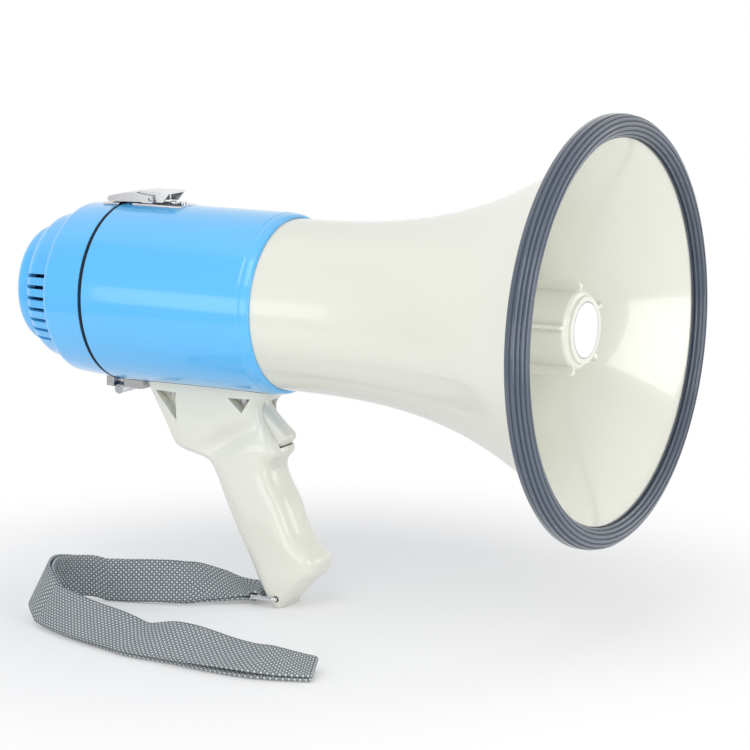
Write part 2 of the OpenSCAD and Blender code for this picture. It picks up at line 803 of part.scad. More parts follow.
module mic_capsule() {
    color([0.7, 0.7, 0.72]) placed()
        pin_x(rear_x + cover_wall, rear_x + cover_wall + capsule_l, 0, grille_up, capsule_d / 2);
}

module volume_knob() {
    flutes = 16;
    pointer_w = 1.2;
    color(black) placed() difference() {
        pin_x(knob_end_x, knob_x, 0, -knob_down, knob_d / 2);
        pin_x(knob_end_x + 1.2, knob_x + 1, 0, -knob_down, shaft_d / 2 + pin_gap);
        for (i = [0:flutes - 1])
            translate([0, 0, -knob_down])
                rotate([360 * i / flutes, 0, 0])
                    pin_x(knob_end_x - 1, knob_x - 1.5, 0, knob_d / 2 + 0.4, 1);
        translate([knob_end_x - 1, -pointer_w / 2, -knob_down + 2])
            cube([1.5, pointer_w, knob_d / 2 - 3.2]);
    }
}

module volume_shaft() {
    color(steel) placed()
        pin_x(knob_end_x + 1.2, rear_x + cover_wall + shaft_in, 0, -knob_down, shaft_d / 2);
}

module volume_control() {
    color([0.25, 0.35, 0.28]) placed() difference() {
        translate([rear_x + cover_wall, -control_w / 2, -knob_down - control_w / 2])
            cube([control_l, control_w, control_w]);
        pin_x(rear_x, rear_x + cover_wall + shaft_in + 0.2, 0, -knob_down, shaft_d / 2 + pin_gap);
    }
}

module amplifier_board() {
    color([0.10, 0.38, 0.22]) placed() difference() {
        pin_x(board_x, board_x + board_t, 0, 0, board_r);
        for (a = [0:120:240])
            rotate([a, 0, 0])
                pin_x(board_x - 1, board_x + board_t + 1, 0, board_screw_r, board_screw_d / 2 + pin_gap);
    }
}

// Transformer, two capacitors and a chip on the rear of the board
module amplifier_parts() {
    color([0.25, 0.25, 0.28]) placed() {
        translate([board_x - coil_l, -coil_w / 2, coil_low]) cube([coil_l, coil_w, coil_h]);
        for (y = [-can_y, can_y]) pin_x(board_x - can_l, board_x, y, -can_down, can_r);
        translate([board_x - chip_t, -chip_w / 2, -chip_h / 2]) cube([chip_t, chip_w, chip_h]);
    }
}

module heat_sink() {
    fins = 6;
    fin_pitch = (2 * sink_half - sink_fin - 2) / (fins - 1);
    color([0.75, 0.76, 0.78]) placed() {
        translate([board_x - sink_t, -sink_half, sink_low]) cube([sink_t, 2 * sink_half, sink_top - sink_low]);
        for (i = [0:fins - 1])
            translate([board_x - sink_l, fin_pitch * (i - (fins - 1) / 2) - sink_fin / 2, sink_low])
                cube([sink_l - sink_t / 2, sink_fin, sink_top - sink_low]);
    }
}

module board_screws() {
    front = board_x + board_t;
    color(steel) placed() for (a = [0:120:240])
        rotate([a, 0, 0]) {
            pin_x(board_x - ledge_t, front, 0, board_screw_r, board_screw_d / 2);
            pin_x(front, front + 1.8, 0, board_screw_r, board_screw_d * 0.8);
        }
}

module battery_tray() {
    spine_half = tray_r - 2;
    color([0.85, 0.85, 0.83]) placed() {
        for (x = [tray_start, tray_mid_x, tray_end_x]) pin_x(x, x + tray_t, 0, 0, tray_r);
        for (x = [tray_start + tray_t - eps, tray_mid_x + tray_t - eps])
            for (a = [0, 90])
                rotate([a, 0, 0])
                    translate([x, -spine_w / 2, -spine_half])
                        cube([cell_l + 2 * contact_t + 2 * eps, spine_w, 2 * spine_half]);
    }
}

module at_cells() {
    for (a = [45:90:315]) rotate([a, 0, 0]) translate([0, 0, cell_ring_r]) children();
}

module battery_cells() {
    button_h = 1.5;
    color([0.72, 0.60, 0.30]) placed() at_cells() for (x = [cell_1_x, cell_2_x]) {
        pin_x(x, x + cell_l - button_h, 0, 0, cell_d / 2);
        pin_x(x + cell_l - button_h, x + cell_l, 0, 0, cell_d / 5);
    }
}

module battery_contacts() {
    color(brass) placed() at_cells() for (x = [cell_1_x, cell_2_x]) {
        pin_x(x - contact_t, x, 0, 0, cell_d / 4);
        pin_x(x + cell_l, x + cell_l + contact_t, 0, 0, cell_d / 4);
    }
}

module grip() {
    slot_half = trigger_w / 2 + 0.3;
    slot_top = trigger_z + trigger_boss_r + trigger_gap;
    rib_h = switch_h + 4;
    wire_hole_r = 3.5;
    color(cream) placed() difference() {
        union() {
            difference() {
                loft(-6, grip_depth, 0);
                difference() {
                    loft(saddle_t, cavity_end, grip_wall);
                    for (p = pockets) cheeks(pocket_in - pocket_wall, grip_half + 1, grown(p, pocket_wall));
                }
            }
            translate([switch_x - rib_t, -grip_half + 1.5, switch_z - rib_h / 2])
                cube([rib_t, 2 * grip_half - 3, rib_h]);
        }
        pin_x(0, 2 * body_l, 0, 0, body_r + seat_gap);
        for (p = pockets) cheeks(pocket_in, grip_half + 1, p);
        for (x = screw_x, y = [-screw_y, screw_y])
            pin_z(x, y, seat_z - 1, -body_r + 8, screw_d / 2 + pin_gap);
        pin_z(wire_hole_x, 0, seat_z - 1, -body_r + 1, wire_hole_r);
        intersection() {
            pin_y(trigger_x, trigger_z, trigger_r + trigger_gap, -slot_half, slot_half);
            translate([slot_back, -slot_half, slot_top - 2 * trigger_r]) cube(2 * trigger_r);
        }
        pin_y(trigger_x, trigger_z, trigger_pin_d / 2 + pin_gap, -pin_half - seat_gap, pin_half + seat_gap);
        pin_y(bail_x, bail_z, wire_r + pin_gap, -grip_half - 1, grip_half + 1);
    }
}

module grip_screws() {
    color(steel) placed() for (x = screw_x, y = [-screw_y, screw_y]) difference() {
        union() {
            pin_z(x, y, seat_z - screw_head_h, seat_z, screw_head_d / 2);
            pin_z(x, y, seat_z, -body_ri + boss_top - 1.2, screw_d / 2);
        }
        translate([x - 2, y - 0.4, seat_z - screw_head_h - 1]) cube([4, 0.8, 2]);
        translate([x - 0.4, y - 2, seat_z - screw_head_h - 1]) cube([0.8, 4, 2]);
    }
}

module trigger() {
    tail = -2;
    nose = [trigger_r - 5, -15.2];
    chin = [trigger_r - 5.5, -18.5];
    foot_x = 12;
    crown = [5.5, 4];
    color([0.84, 0.85, 0.84]) placed() difference() {
        union() {
            intersection() {
                translate([trigger_x, 0, trigger_z])
                    slab(-trigger_w / 2, trigger_w / 2, [
                        [0, crown[1]], crown, nose, chin,
                        [foot_x, -trigger_r + 1], [tail, -trigger_r + 3], [tail, 0]
                    ]);
                pin_y(trigger_x, trigger_z, trigger_r, -trigger_w, trigger_w);
            }
            pin_y(trigger_x, trigger_z, trigger_boss_r, -trigger_w / 2, trigger_w / 2);
        }
        pin_y(trigger_x, trigger_z, trigger_pin_d / 2 + pin_gap, -trigger_w, trigger_w);
    }
}

module trigger_pin() {
    color(steel) placed() pin_y(trigger_x, trigger_z, trigger_pin_d / 2, -pin_half, pin_half);
}

module trigger_switch() {
    color([0.15, 0.15, 0.16]) placed() {
        translate([switch_x, -switch_w / 2, switch_z - switch_h / 2]) cube([switch_l, switch_w, switch_h]);
        pin_x(switch_x + switch_l - eps, plunger_end, 0, switch_z, 1.5);
    }
}

// A quarter bend of wire from -X round to +Y, about a corner
module bend(x, y, turn) {
    translate([x, y, bail_z]) rotate([0, 0, turn])
        rotate_extrude(angle = 90) translate([wire_bend, 0]) circle(r = wire_r, $fn = round_fn);
}

module strap_bail() {
    side = bail_half - wire_bend;
    front = bail_x - wire_bend;
    back = bar_x + wire_bend;
    color(chrome) placed() {
        for (x = [bail_x, bar_x]) pin_y(x, bail_z, wire_r, -side, side);
        for (y = [-bail_half, bail_half]) pin_x(back, front, y, bail_z, wire_r);
        bend(front, side, 0);
        bend(back, side, 90);
        bend(back, -side, 180);
        bend(front, -side, 270);
    }
}

// A loop of doubled webbing: an eye round the bail's bar, and a band laid on the floor
module strap() {
    points = [for (i = [0:len(strap_route) - 2], k = [0:strap_steps - 1]) strap_at(i + k / strap_steps)];
    centres = concat(points, [strap_at(len(strap_route) - 1)]);
    rings = [for (i = [0:len(centres) - 1]) each strap_ring(centres, i)];
    color([0.55, 0.57, 0.60]) difference() {
        union() {
            polyhedron(rings, tube_faces(len(centres), 4), convexity = 8);
            placed() pin_y(bar_x, bail_z, eye_r, -eye_half, eye_half);
        }
        placed() pin_y(bar_x, bail_z, eye_hole_r, -strap_w, strap_w);
    }
}

module latch_base() {
    ear_z = body_r + base_t / 2;
    ear_top = 1.9;
    color(chrome) placed() difference() {
        union() {
            saddle_sheet(body_r + seat_gap, body_r + seat_gap, base_t, base_x[0], base_x[1], base_half);
            cheeks(ear_out - sheet_t, ear_out, concat(
                [[lever_pivot[0] - 3.5, ear_z - 0.4], [lever_pivot[0] + 3.5, ear_z - 0.4]],
                arc(lever_pivot[0], lever_pivot[1], ear_top, ear_top, 0, 180, 8)
            ));
        }
        pin_y(lever_pivot[0], lever_pivot[1], latch_r + pin_gap, -base_half, base_half);
        for (x = rivet_x) pin_z(x, 0, body_r - 1, body_r + 3, rivet_r + pin_gap);
    }
}

module latch_lever() {
    start = [lever_x[0], lever_under];
    end = [lever_x[1], lever_under + 0.3];
    low = claw_pivot[1] - 1.6;
    color(chrome) placed() difference() {
        union() {
            slab(-lever_out, lever_out, [start, end, end + [0, plate_rise], start + [0, plate_rise]]);
            cheeks(lever_in, lever_out, [
                start + [0, 0.5], start - [0, 2.8], [claw_pivot[0] - 2.4, low], [lever_x[1] - 5, low],
                end + [-0.5, 0], end + [-0.5, 0.5]
            ]);
        }
        pin_y(lever_pivot[0], lever_pivot[1], latch_r + pin_gap, -claw_w, claw_w);
        pin_y(claw_pivot[0], claw_pivot[1], latch_r + pin_gap, -claw_w, claw_w);
    }
}

// A bridge over the seam: two cheeks on the lever's pins, a top plate, and a hook at the rear
module latch_claw() {
    hook_low = lip_top - hook_depth;
    eye = 2.4;
    cheek_h = 4;
    color(chrome) placed() difference() {
        union() {
            slab(-claw_w / 2, claw_w / 2, [
                claw_rear, claw_front, claw_front + [0, plate_rise], claw_rear + [0, plate_rise]
            ]);
            cheeks(claw_in, claw_w / 2, concat(
                [claw_rear + [0, 0.5], claw_rear - [0, cheek_h], [claw_pivot[0] - 8, claw_pivot[1] - 1.8]],
                arc(claw_pivot[0], claw_pivot[1], eye, eye, 245, 430, 8),
                [claw_front + [0, 0.5]]
            ));
            slab(-hook_half, hook_half, [
                [-claw_reach, hook_low], [-claw_reach + 1, hook_low],
                [-claw_reach + 1, claw_rear[1] + 0.5], [-claw_reach, claw_rear[1] + 0.5]
            ]);
        }
        pin_y(claw_pivot[0], claw_pivot[1], latch_r + pin_gap, -claw_w, claw_w);
    }
}

module latch_lever_pin() {
    color(chrome) placed() pin_y(lever_pivot[0], lever_pivot[1], latch_r, -lever_out, lever_out);
}

module latch_claw_pins() {
    color(chrome) placed() for (side = [0, 1]) mirror([0, side, 0]) {
        pin_y(claw_pivot[0], claw_pivot[1], latch_r, lever_in, claw_w / 2);
        pin_y(claw_pivot[0], claw_pivot[1], latch_r * 1.6, claw_w / 2, claw_w / 2 + 0.8);
    }
}

module latch_rivets() {
    color(chrome) placed() for (x = rivet_x)
        rivet(x, 0, body_ri - 0.2, body_r + seat_gap + base_t, rivet_r);
}

module latch_keeper() {
    lip_foot = cover_at(keeper_x) + base_t * 0.6;
    color(chrome) placed() difference() {
        union() {
            saddle_sheet(
                cover_at(keeper_x - keeper_l) + seat_gap, cover_at(keeper_x) + seat_gap,
                base_t, keeper_x - keeper_l, keeper_x, base_half - 1
            );
            translate([keeper_x - keeper_lip, -hook_half, lip_foot])
                cube([keeper_lip, 2 * hook_half, lip_top - lip_foot]);
        }
        for (y = [-keeper_rivet_y, keeper_rivet_y])
            pin_z(keeper_rivet_x, y, cover_r - 3, edge_r + 3, rivet_r + pin_gap);
    }
}

module keeper_rivets() {
    low = cover_at(keeper_rivet_x - rivet_head_r) - cover_wall - 0.6;
    high = cover_at(keeper_rivet_x + rivet_head_r) + seat_gap + base_t;
    color(chrome) placed() for (y = [-keeper_rivet_y, keeper_rivet_y])
        rivet(keeper_rivet_x, y, low, high, rivet_r);
}

// One leaf: knuckles between y0 and y1 with their tongues, drawn on the side that way points to
module knuckle(y0, y1, reach) {
    pin_y(hinge_x, hinge_z, knuckle_r, y0, y1);
    translate([min(hinge_x, hinge_x + reach), y0, leaf_top - leaf_t]) cube([abs(reach), y1 - y0, leaf_t]);
}

module hinge_body_leaf() {
    inner = middle_half + knuckle_gap;
    color(chrome) placed() difference() {
        union() {
            knuckle(inner, hinge_w / 2, leaf_start[0] + 1 - hinge_x);
            knuckle(-hinge_w / 2, -inner, leaf_start[0] + 1 - hinge_x);
            translate([leaf_start[0], -hinge_w / 2, leaf_top - leaf_t])
                cube([leaf_front - leaf_start[0], hinge_w, leaf_rise]);
        }
        pin_x(-1, body_l, 0, 0, body_r + seat_gap);
        pin_y(hinge_x, hinge_z, hinge_pin_d / 2 + pin_gap, -hinge_w, hinge_w);
        for (y = [-hinge_rivet_y, hinge_rivet_y])
            pin_z(hinge_rivet_x[0], y, leaf_top - 3, -body_ri, rivet_r + pin_gap);
    }
}

module hinge_cover_leaf() {
    start = leaf_start[1];
    color(chrome) placed() difference() {
        union() {
            knuckle(-middle_half, middle_half, start - 1 - hinge_x);
            translate([leaf_rear, -hinge_w / 2, leaf_top - leaf_t])
                cube([start - leaf_rear, hinge_w, leaf_rise]);
        }
        lathe([
            [0, side_end], [cover_r + seat_gap, side_end], [cover_at(0) + seat_gap, 0], [0, 0]
        ]);
        pin_y(hinge_x, hinge_z, hinge_pin_d / 2 + pin_gap, -hinge_w, hinge_w);
        for (y = [-hinge_rivet_y, hinge_rivet_y])
            pin_z(hinge_rivet_x[1], y, leaf_top - 3, -cover_r + cover_wall, rivet_r + pin_gap);
    }
}

module hinge_pin() {
    head_r = hinge_pin_d * 0.8;
    color(chrome) placed() {
        pin_y(hinge_x, hinge_z, hinge_pin_d / 2, -hinge_w / 2, hinge_w / 2);
        pin_y(hinge_x, hinge_z, head_r, hinge_w / 2, hinge_w / 2 + 1);
        pin_y(hinge_x, hinge_z, head_r, -hinge_w / 2 - 1, -hinge_w / 2);
    }
}

module hinge_body_rivets() {
    color(chrome) placed() for (y = [-hinge_rivet_y, hinge_rivet_y])
        rivet(hinge_rivet_x[0], y, leaf_top - leaf_t, -body_ri + 1.2, rivet_r);
}

module hinge_cover_rivets() {
    seat_r = cover_at(hinge_rivet_x[1]);
    color(chrome) placed() for (y = [-hinge_rivet_y, hinge_rivet_y])
        rivet(hinge_rivet_x[1], y, leaf_top - leaf_t, -seat_r + cover_wall + 1.2, rivet_r);
}

rear_cover();
cover_gasket();
mic_grille();
mic_capsule();
volume_knob();
volume_shaft();
volume_control();
amplifier_board();
amplifier_parts();
heat_sink();
board_screws();
main_body();
horn();
horn_bulkhead();
rim_bumper();
tone_guide();
badge_disc();
throat_tube();
driver_plate();
driver_magnet();
driver_yoke();
driver_diaphragm();
driver_screws();
battery_tray();
battery_cells();
battery_contacts();
grip();
grip_screws();
trigger();
trigger_pin();
trigger_switch();
strap_bail();
strap();
latch_base();
latch_lever();
latch_claw();
latch_lever_pin();
latch_claw_pins();
latch_rivets();
latch_keeper();
keeper_rivets();
hinge_body_leaf();
hinge_cover_leaf();
hinge_pin();
hinge_body_rivets();
hinge_cover_rivets();
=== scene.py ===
"""Studio scene for a handheld megaphone: finishes, webbing strap, floor, light and camera."""

import json
from bisect import bisect_right
from math import acos, asin, copysign, cos, exp, pi, radians, sin, sqrt, tau

import bmesh
import bpy
from bpy.props import FloatProperty, FloatVectorProperty, IntProperty, PointerProperty
from bpy.types import Operator, Panel, PropertyGroup
from mathutils import Matrix, Vector

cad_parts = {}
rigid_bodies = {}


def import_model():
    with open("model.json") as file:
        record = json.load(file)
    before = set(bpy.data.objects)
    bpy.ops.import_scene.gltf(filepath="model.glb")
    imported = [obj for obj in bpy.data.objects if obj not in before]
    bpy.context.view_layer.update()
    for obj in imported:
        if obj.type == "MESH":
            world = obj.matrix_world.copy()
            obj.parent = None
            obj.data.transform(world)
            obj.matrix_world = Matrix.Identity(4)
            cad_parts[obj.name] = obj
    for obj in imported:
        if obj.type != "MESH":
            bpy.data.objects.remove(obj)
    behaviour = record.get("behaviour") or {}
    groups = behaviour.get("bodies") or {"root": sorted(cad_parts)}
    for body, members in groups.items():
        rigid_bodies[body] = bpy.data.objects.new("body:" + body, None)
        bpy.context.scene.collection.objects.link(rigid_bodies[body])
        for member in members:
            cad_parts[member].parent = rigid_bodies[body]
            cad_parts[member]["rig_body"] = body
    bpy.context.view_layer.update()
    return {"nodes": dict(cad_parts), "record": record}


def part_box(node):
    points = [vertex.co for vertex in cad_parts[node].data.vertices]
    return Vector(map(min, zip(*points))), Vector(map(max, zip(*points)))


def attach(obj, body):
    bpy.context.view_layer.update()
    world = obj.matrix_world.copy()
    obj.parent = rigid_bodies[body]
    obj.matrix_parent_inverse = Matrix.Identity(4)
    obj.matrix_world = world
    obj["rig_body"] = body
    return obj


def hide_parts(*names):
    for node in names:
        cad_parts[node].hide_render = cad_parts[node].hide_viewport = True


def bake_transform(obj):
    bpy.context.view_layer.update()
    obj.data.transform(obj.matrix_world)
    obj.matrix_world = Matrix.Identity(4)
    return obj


bl_info = {
    "name": "Handheld megaphone",
    "version": (1, 0, 0),
    "blender": (4, 5, 0),
    "location": "View3D > Sidebar > Megaphone",
    "description": "Finishes, strap, floor, light and camera for a handheld megaphone",
    "category": "Object",
}

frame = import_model()
SLOTS = {part["node"]: part["material_slot"] for part in frame["record"]["subparts"]}
MM = 0.001
RIM_LOW, RIM_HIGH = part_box("rim_bumper")
HORN_LOW, HORN_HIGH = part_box("horn")
BODY_LOW, BODY_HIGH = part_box("main_body")
AXIS_Z = (RIM_LOW.z + RIM_HIGH.z) / 2
MOUTH_X = RIM_HIGH.x
SEAM_X, BODY_X = BODY_LOW.x, BODY_HIGH.x
X_AXIS, Y_AXIS = (1, 0, 0), (0, 1, 0)

# Widths of softened edges, and the reach of merging
FINE_EDGE, THIN_EDGE, SOFT_EDGE = 0.15 * MM, 0.2 * MM, 0.3 * MM
MERGE = 1e-6

# What each kind of property has in common
COLOUR = {"subtype": "COLOR", "min": 0, "max": 1}
LENGTH = {"subtype": "DISTANCE", "unit": "LENGTH"}
ANGLE = {"subtype": "ANGLE"}

# Sockets of a Mix node that mixes colours
MIX_SHARE, MIX_FIRST, MIX_SECOND, MIX_RESULT = 0, 6, 7, 2


def linear(red, green, blue):
    """A screen colour from 0 to 255 as a shader's linear values."""
    shares = (red / 255, green / 255, blue / 255)
    return tuple(c / 12.92 if c <= 0.04045 else ((c + 0.055) / 1.055) ** 2.4 for c in shares)


class MegaphoneColours(PropertyGroup):
    """Colours of the plastics, the rubber, the webbing and the metal."""

    cream: FloatVectorProperty(
        name="Cream", description="Plastic of the horn, tone guide and grip",
        default=linear(226, 227, 216), **COLOUR,
    )
    blue: FloatVectorProperty(
        name="Blue", description="Plastic of the body and the rear cover",
        default=linear(92, 190, 252), **COLOUR,
    )
    slate: FloatVectorProperty(
        name="Slate", description="Rubber of the rim", default=linear(86, 97, 113), **COLOUR,
    )
    chrome: FloatVectorProperty(
        name="Chrome", description="Plating of the latch, hinge and bail",
        default=(0.74, 0.75, 0.77), **COLOUR,
    )
    yarn_light: FloatVectorProperty(
        name="Light yarn", description="Raised yarn of the webbing",
        default=linear(214, 219, 221), **COLOUR,
    )
    # Painted shade: the yarn that passes under is drawn darker than the raised yarn
    yarn_in_shade: FloatVectorProperty(
        name="Sunk yarn", description="Yarn that passes under in the webbing",
        default=linear(136, 144, 149), **COLOUR,
    )
    # Painted shade: the gaps between the yarns are drawn nearly black
    gap_shade: FloatVectorProperty(
        name="Dark gap", description="Gaps between the yarns of the webbing",
        default=linear(48, 55, 61), **COLOUR,
    )


class HornSizes(PropertyGroup):
    """Sizes of the horn's bell and its rubber rim."""

    neck: FloatProperty(
        name="Neck", description="Outside radius of the horn's neck", default=49.9 * MM, **LENGTH,
    )
    power: FloatProperty(name="Flare", description="How late the horn opens out", default=2.7)
    wall: FloatProperty(name="Wall", description="Wall of the horn", default=2.5 * MM, **LENGTH)
    edge: FloatProperty(
        name="Edge", description="Width of the flat edge that carries the rim", default=5 * MM, **LENGTH,
    )
    rubber: FloatProperty(name="Rubber", description="Radial width of the rim", default=13 * MM, **LENGTH)
    ridges: IntProperty(name="Ridges", description="Ridges over the rim's face", default=7)
    ridge: FloatProperty(name="Ridge", description="Height of a ridge", default=0.7 * MM, **LENGTH)
    turns: IntProperty(name="Turns", description="Segments round the horn", default=224)


class GuideSizes(PropertyGroup):
    """Sizes of the tone guide in the bell."""

    cup: FloatProperty(name="Cup", description="Outside radius of the cup", default=22.25 * MM, **LENGTH)
    ring: FloatProperty(
        name="Ring", description="Outside radius of the ring round the badge", default=19.2 * MM, **LENGTH,
    )
    wall: FloatProperty(name="Wall", description="Wall of the cup", default=2.2 * MM, **LENGTH)
    length: FloatProperty(name="Length", description="Length of the cup", default=105 * MM, **LENGTH)
    fins: IntProperty(name="Fins", description="Fins round the cup", default=5)
    fin: FloatProperty(name="Fin", description="Thickness of a fin", default=2.4 * MM, **LENGTH)
    turn: FloatProperty(
        name="Turn", description="Turn of the first fin from upright", default=radians(8), **ANGLE,
    )


class GripSizes(PropertyGroup):
    """Sizes of the pistol grip's outside."""

    half: FloatProperty(
        name="Half thickness", description="Half thickness of the grip at its middle",
        default=17 * MM, **LENGTH,
    )
    square: FloatProperty(name="Squareness", description="Power of the grip's rounded section", default=4.0)
    crease: FloatProperty(
        name="Crease", description="Depth of the soft hollow between saddle and handle",
        default=4.6 * MM, **LENGTH,
    )


class StrapSizes(PropertyGroup):
    """Sizes of the webbing and its weave."""

    width: FloatProperty(name="Width", description="Width of the webbing", default=25 * MM, **LENGTH)
    layer: FloatProperty(
        name="Layer", description="Thickness of one layer of webbing", default=1.4 * MM, **LENGTH,
    )
    apart: FloatProperty(
        name="Apart", description="Distance between the middles of the two layers",
        default=2.5 * MM, **LENGTH,
    )
    wrap: FloatProperty(
        name="Wrap", description="Radius of the webbing round the bail's bar", default=2.4 * MM, **LENGTH,
    )
    yarn: FloatProperty(name="Yarn", description="Distance from yarn to yarn", default=1.5 * MM, **LENGTH)


class StageSettings(PropertyGroup):
    """Camera and light."""

    azimuth: FloatProperty(
        name="Azimuth", description="Turn of the camera about the part", default=radians(29.68), **ANGLE,
    )
    elevation: FloatProperty(
        name="Elevation", description="Height of the camera as an angle", default=radians(10.12), **ANGLE,
    )
    distance: FloatProperty(
        name="Distance", description="From the camera to the point it looks at", default=1.7853, **LENGTH,
    )
    lens: FloatProperty(name="Lens", description="Focal length in millimetres", default=150.0)
    target: FloatVectorProperty(
        name="Target", description="Point that the camera looks at",
        subtype="XYZ", unit="LENGTH", default=(0.0387, 0.0, 0.1418),
    )
    table: FloatProperty(name="Table", description="Radius of the round floor", default=0.57, **LENGTH)
    fill: FloatProperty(name="Fill", description="Strength of the white room's light", default=0.81)
    ahead: FloatProperty(
        name="Ahead", description="How much less the room lights what faces forward", default=0.45,
    )
    shade: FloatProperty(
        name="Shade", description="How much darker reflections show the room behind the camera",
        default=0.55,
    )


class Shade:
    """A shader value that takes part in sums like a number."""

    def __init__(self, finish, socket):
        self.finish = finish
        self.socket = socket

    def out(self, name):
        return Shade(self.finish, self.socket.node.outputs[name])

    def math(self, operation, *others):
        sockets = dict(enumerate((self, *others)))
        return self.finish.node("ShaderNodeMath", sockets, operation=operation)

    def ramp(self, low, high):
        """A smooth rise from 0 to 1."""
        sockets = {"Value": self, "From Min": low, "From Max": high}
        return self.finish.node("ShaderNodeMapRange", sockets, interpolation_type="SMOOTHSTEP")

    def __add__(self, other):
        return self.math("ADD", other)

    __radd__ = __add__

    def __mul__(self, other):
        return self.math("MULTIPLY", other)

    __rmul__ = __mul__

    def __sub__(self, other):
        return self.math("SUBTRACT", other)

    def __rsub__(self, other):
        return self.finish.node("ShaderNodeMath", {0: other, 1: self}, operation="SUBTRACT")

    def __gt__(self, other):
        return self.math("GREATER_THAN", other)

    def __lt__(self, other):
        return self.math("LESS_THAN", other)


class Finish:
    """The shader nodes of a material or of the world."""

    def __init__(self, owner):
        owner.use_nodes = True
        self.owner = owner
        self.tree = owner.node_tree
        self.tree.nodes.clear()
        self.coordinates = self.node("ShaderNodeTexCoord")

    def node(self, kind, sockets=None, **settings):
        """Adds a node and gives its first output."""
        made = self.tree.nodes.new(kind)
        for name, value in settings.items():
            setattr(made, name, value)
        for key, value in (sockets or {}).items():
            if isinstance(value, Shade):
                self.tree.links.new(value.socket, made.inputs[key])
            elif made.inputs[key].type == "RGBA":
                made.inputs[key].default_value = (*value, 1.0)
            else:
                made.inputs[key].default_value = value
        return Shade(self, made.outputs[0]) if made.outputs else None

    def place(self, where="Object", origin=(0, 0, 0)):
        """The three parts of a coordinate, measured from an origin."""
        shift = {"Vector": self.coordinates.out(where), "Location": tuple(-c for c in origin)}
        moved = self.node("ShaderNodeMapping", shift)
        parts = self.node("ShaderNodeSeparateXYZ", {"Vector": moved})
        return parts.out("X"), parts.out("Y"), parts.out("Z")

    def noise(self, scale, detail=2.0, stretch=(1.0, 1.0, 1.0)):
        drawn = {"Vector": self.coordinates.out("Object"), "Scale": stretch}
        place = self.node("ShaderNodeMapping", drawn)
        return self.node("ShaderNodeTexNoise", {"Vector": place, "Scale": scale, "Detail": detail})

    def mix(self, share, first, second):
        sockets = {MIX_SHARE: share, MIX_FIRST: first, MIX_SECOND: second}
        return self.node("ShaderNodeMix", sockets, data_type="RGBA").out(MIX_RESULT)

    def bump(self, height, depth, strength):
        sockets = {"Height": height, "Distance": depth, "Strength": strength}
        return self.node("ShaderNodeBump", sockets)

    def surface(self, **sockets):
        """Ends the material in a Principled surface."""
        named = {}
        for key, value in sockets.items():
            named[key.replace("_", " ").title().replace("Ior", "IOR")] = value
        shader = self.node("ShaderNodeBsdfPrincipled", named)
        self.node("ShaderNodeOutputMaterial", {"Surface": shader})
        return self.owner


def new_finish(name):
    return Finish(bpy.data.materials.new(name))


def toned(colour, share):
    """A colour made darker or lighter."""
    return tuple(share * c for c in colour)


def moulded(f, colour, rough=0.2, coat=0.6):
    """Glossy plastic with faint clouding and the ripple of a moulded skin."""
    cloud = f.noise(14.0, 3.0)
    grain = f.noise(420.0)
    ripple = f.noise(60.0, 1.0)
    return f.surface(
        base_color=f.mix(cloud * 0.35, colour, toned(colour, 0.94)),
        roughness=rough + cloud * 0.06 + grain * 0.03,
        coat_weight=coat,
        coat_roughness=0.03,
        normal=f.bump(ripple, 0.03 * MM, 0.35),
    )


def rubbery(f, colour, rough, streak=0.25):
    """Satin rubber with a dry grain and paler scuffs."""
    scuff = f.noise(34.0, 6.0)
    grain = f.noise(900.0)
    pale = tuple(min(1.0, 1.35 * c + 0.01) for c in colour)
    return f.surface(
        base_color=f.mix(scuff * streak, colour, pale),
        roughness=rough + scuff * 0.12 - grain * 0.06,
        specular_ior_level=0.2,
        normal=f.bump(grain, 0.05 * MM, 0.4),
    )


def ridged_rubber(f, colour, sizes):
    """Rubber of the rim: worn ridges, and painted shade in the grooves, by the angle round its section."""
    radius = (RIM_HIGH.z - RIM_LOW.z - sizes.rubber) / 2
    ahead, across, up = f.place("Object", (MOUTH_X - sizes.rubber / 2, 0, AXIS_Z))
    out = (across * across + up * up).math("SQRT") - radius
    turn = ahead.math("ARCTAN2", out) * (2 * sizes.ridges)
    groove = (0.5 - turn.math("COSINE") * 0.5).math("POWER", 1.5)
    scuff = f.noise(40.0, 6.0)
    grain = f.noise(900.0)
    worn = f.mix(scuff * 0.35, toned(colour, 0.78), toned(colour, 1.15))
    # Share of painted shade: none on the ridges, most at the bottom of each groove
    deep = groove.ramp(0.4, 1.0)
    return f.surface(
        # Painted shade: the grooves are darkened towards three tenths of the rubber's colour
        base_color=f.mix(deep * 0.85, worn, toned(colour, 0.3)),
        roughness=0.13 + scuff * 0.08 + deep * 0.3,
        specular_ior_level=0.35,
        coat_weight=0.55 - deep * 0.55,
        coat_roughness=0.08,
        normal=f.bump(grain * 0.04 - groove, 0.2 * MM, 0.7),
    )


def plated(f, colour, rough=0.12):
    """Bright metal with fine drawn lines and cloudy handling marks."""
    lines = f.noise(160.0, 3.0, stretch=(1.0, 30.0, 30.0))
    marks = f.noise(70.0, 4.0)
    return f.surface(
        base_color=f.mix(marks * 0.4, colour, toned(colour, 0.78)),
        metallic=1.0,
        roughness=rough + lines * 0.08 + marks * 0.08,
        normal=f.bump(lines, 0.02 * MM, 0.3),
    )


def badge_white(f):
    """A white glossy disc with a thin grey line near its edge."""
    low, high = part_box("badge_disc")
    _, across, up = f.place("Object", (low + high) / 2)
    radius = (across * across + up * up).math("SQRT")
    edge = (high.z - low.z) / 2
    line_start, line_end = edge - 0.7 * MM, edge - 0.1 * MM
    line = (radius > line_start) * (radius < line_end)
    return f.surface(
        base_color=f.mix(line, (0.9, 0.9, 0.91), (0.42, 0.43, 0.45)),
        roughness=0.16 + f.noise(40.0) * 0.06,
        coat_weight=0.3,
    )


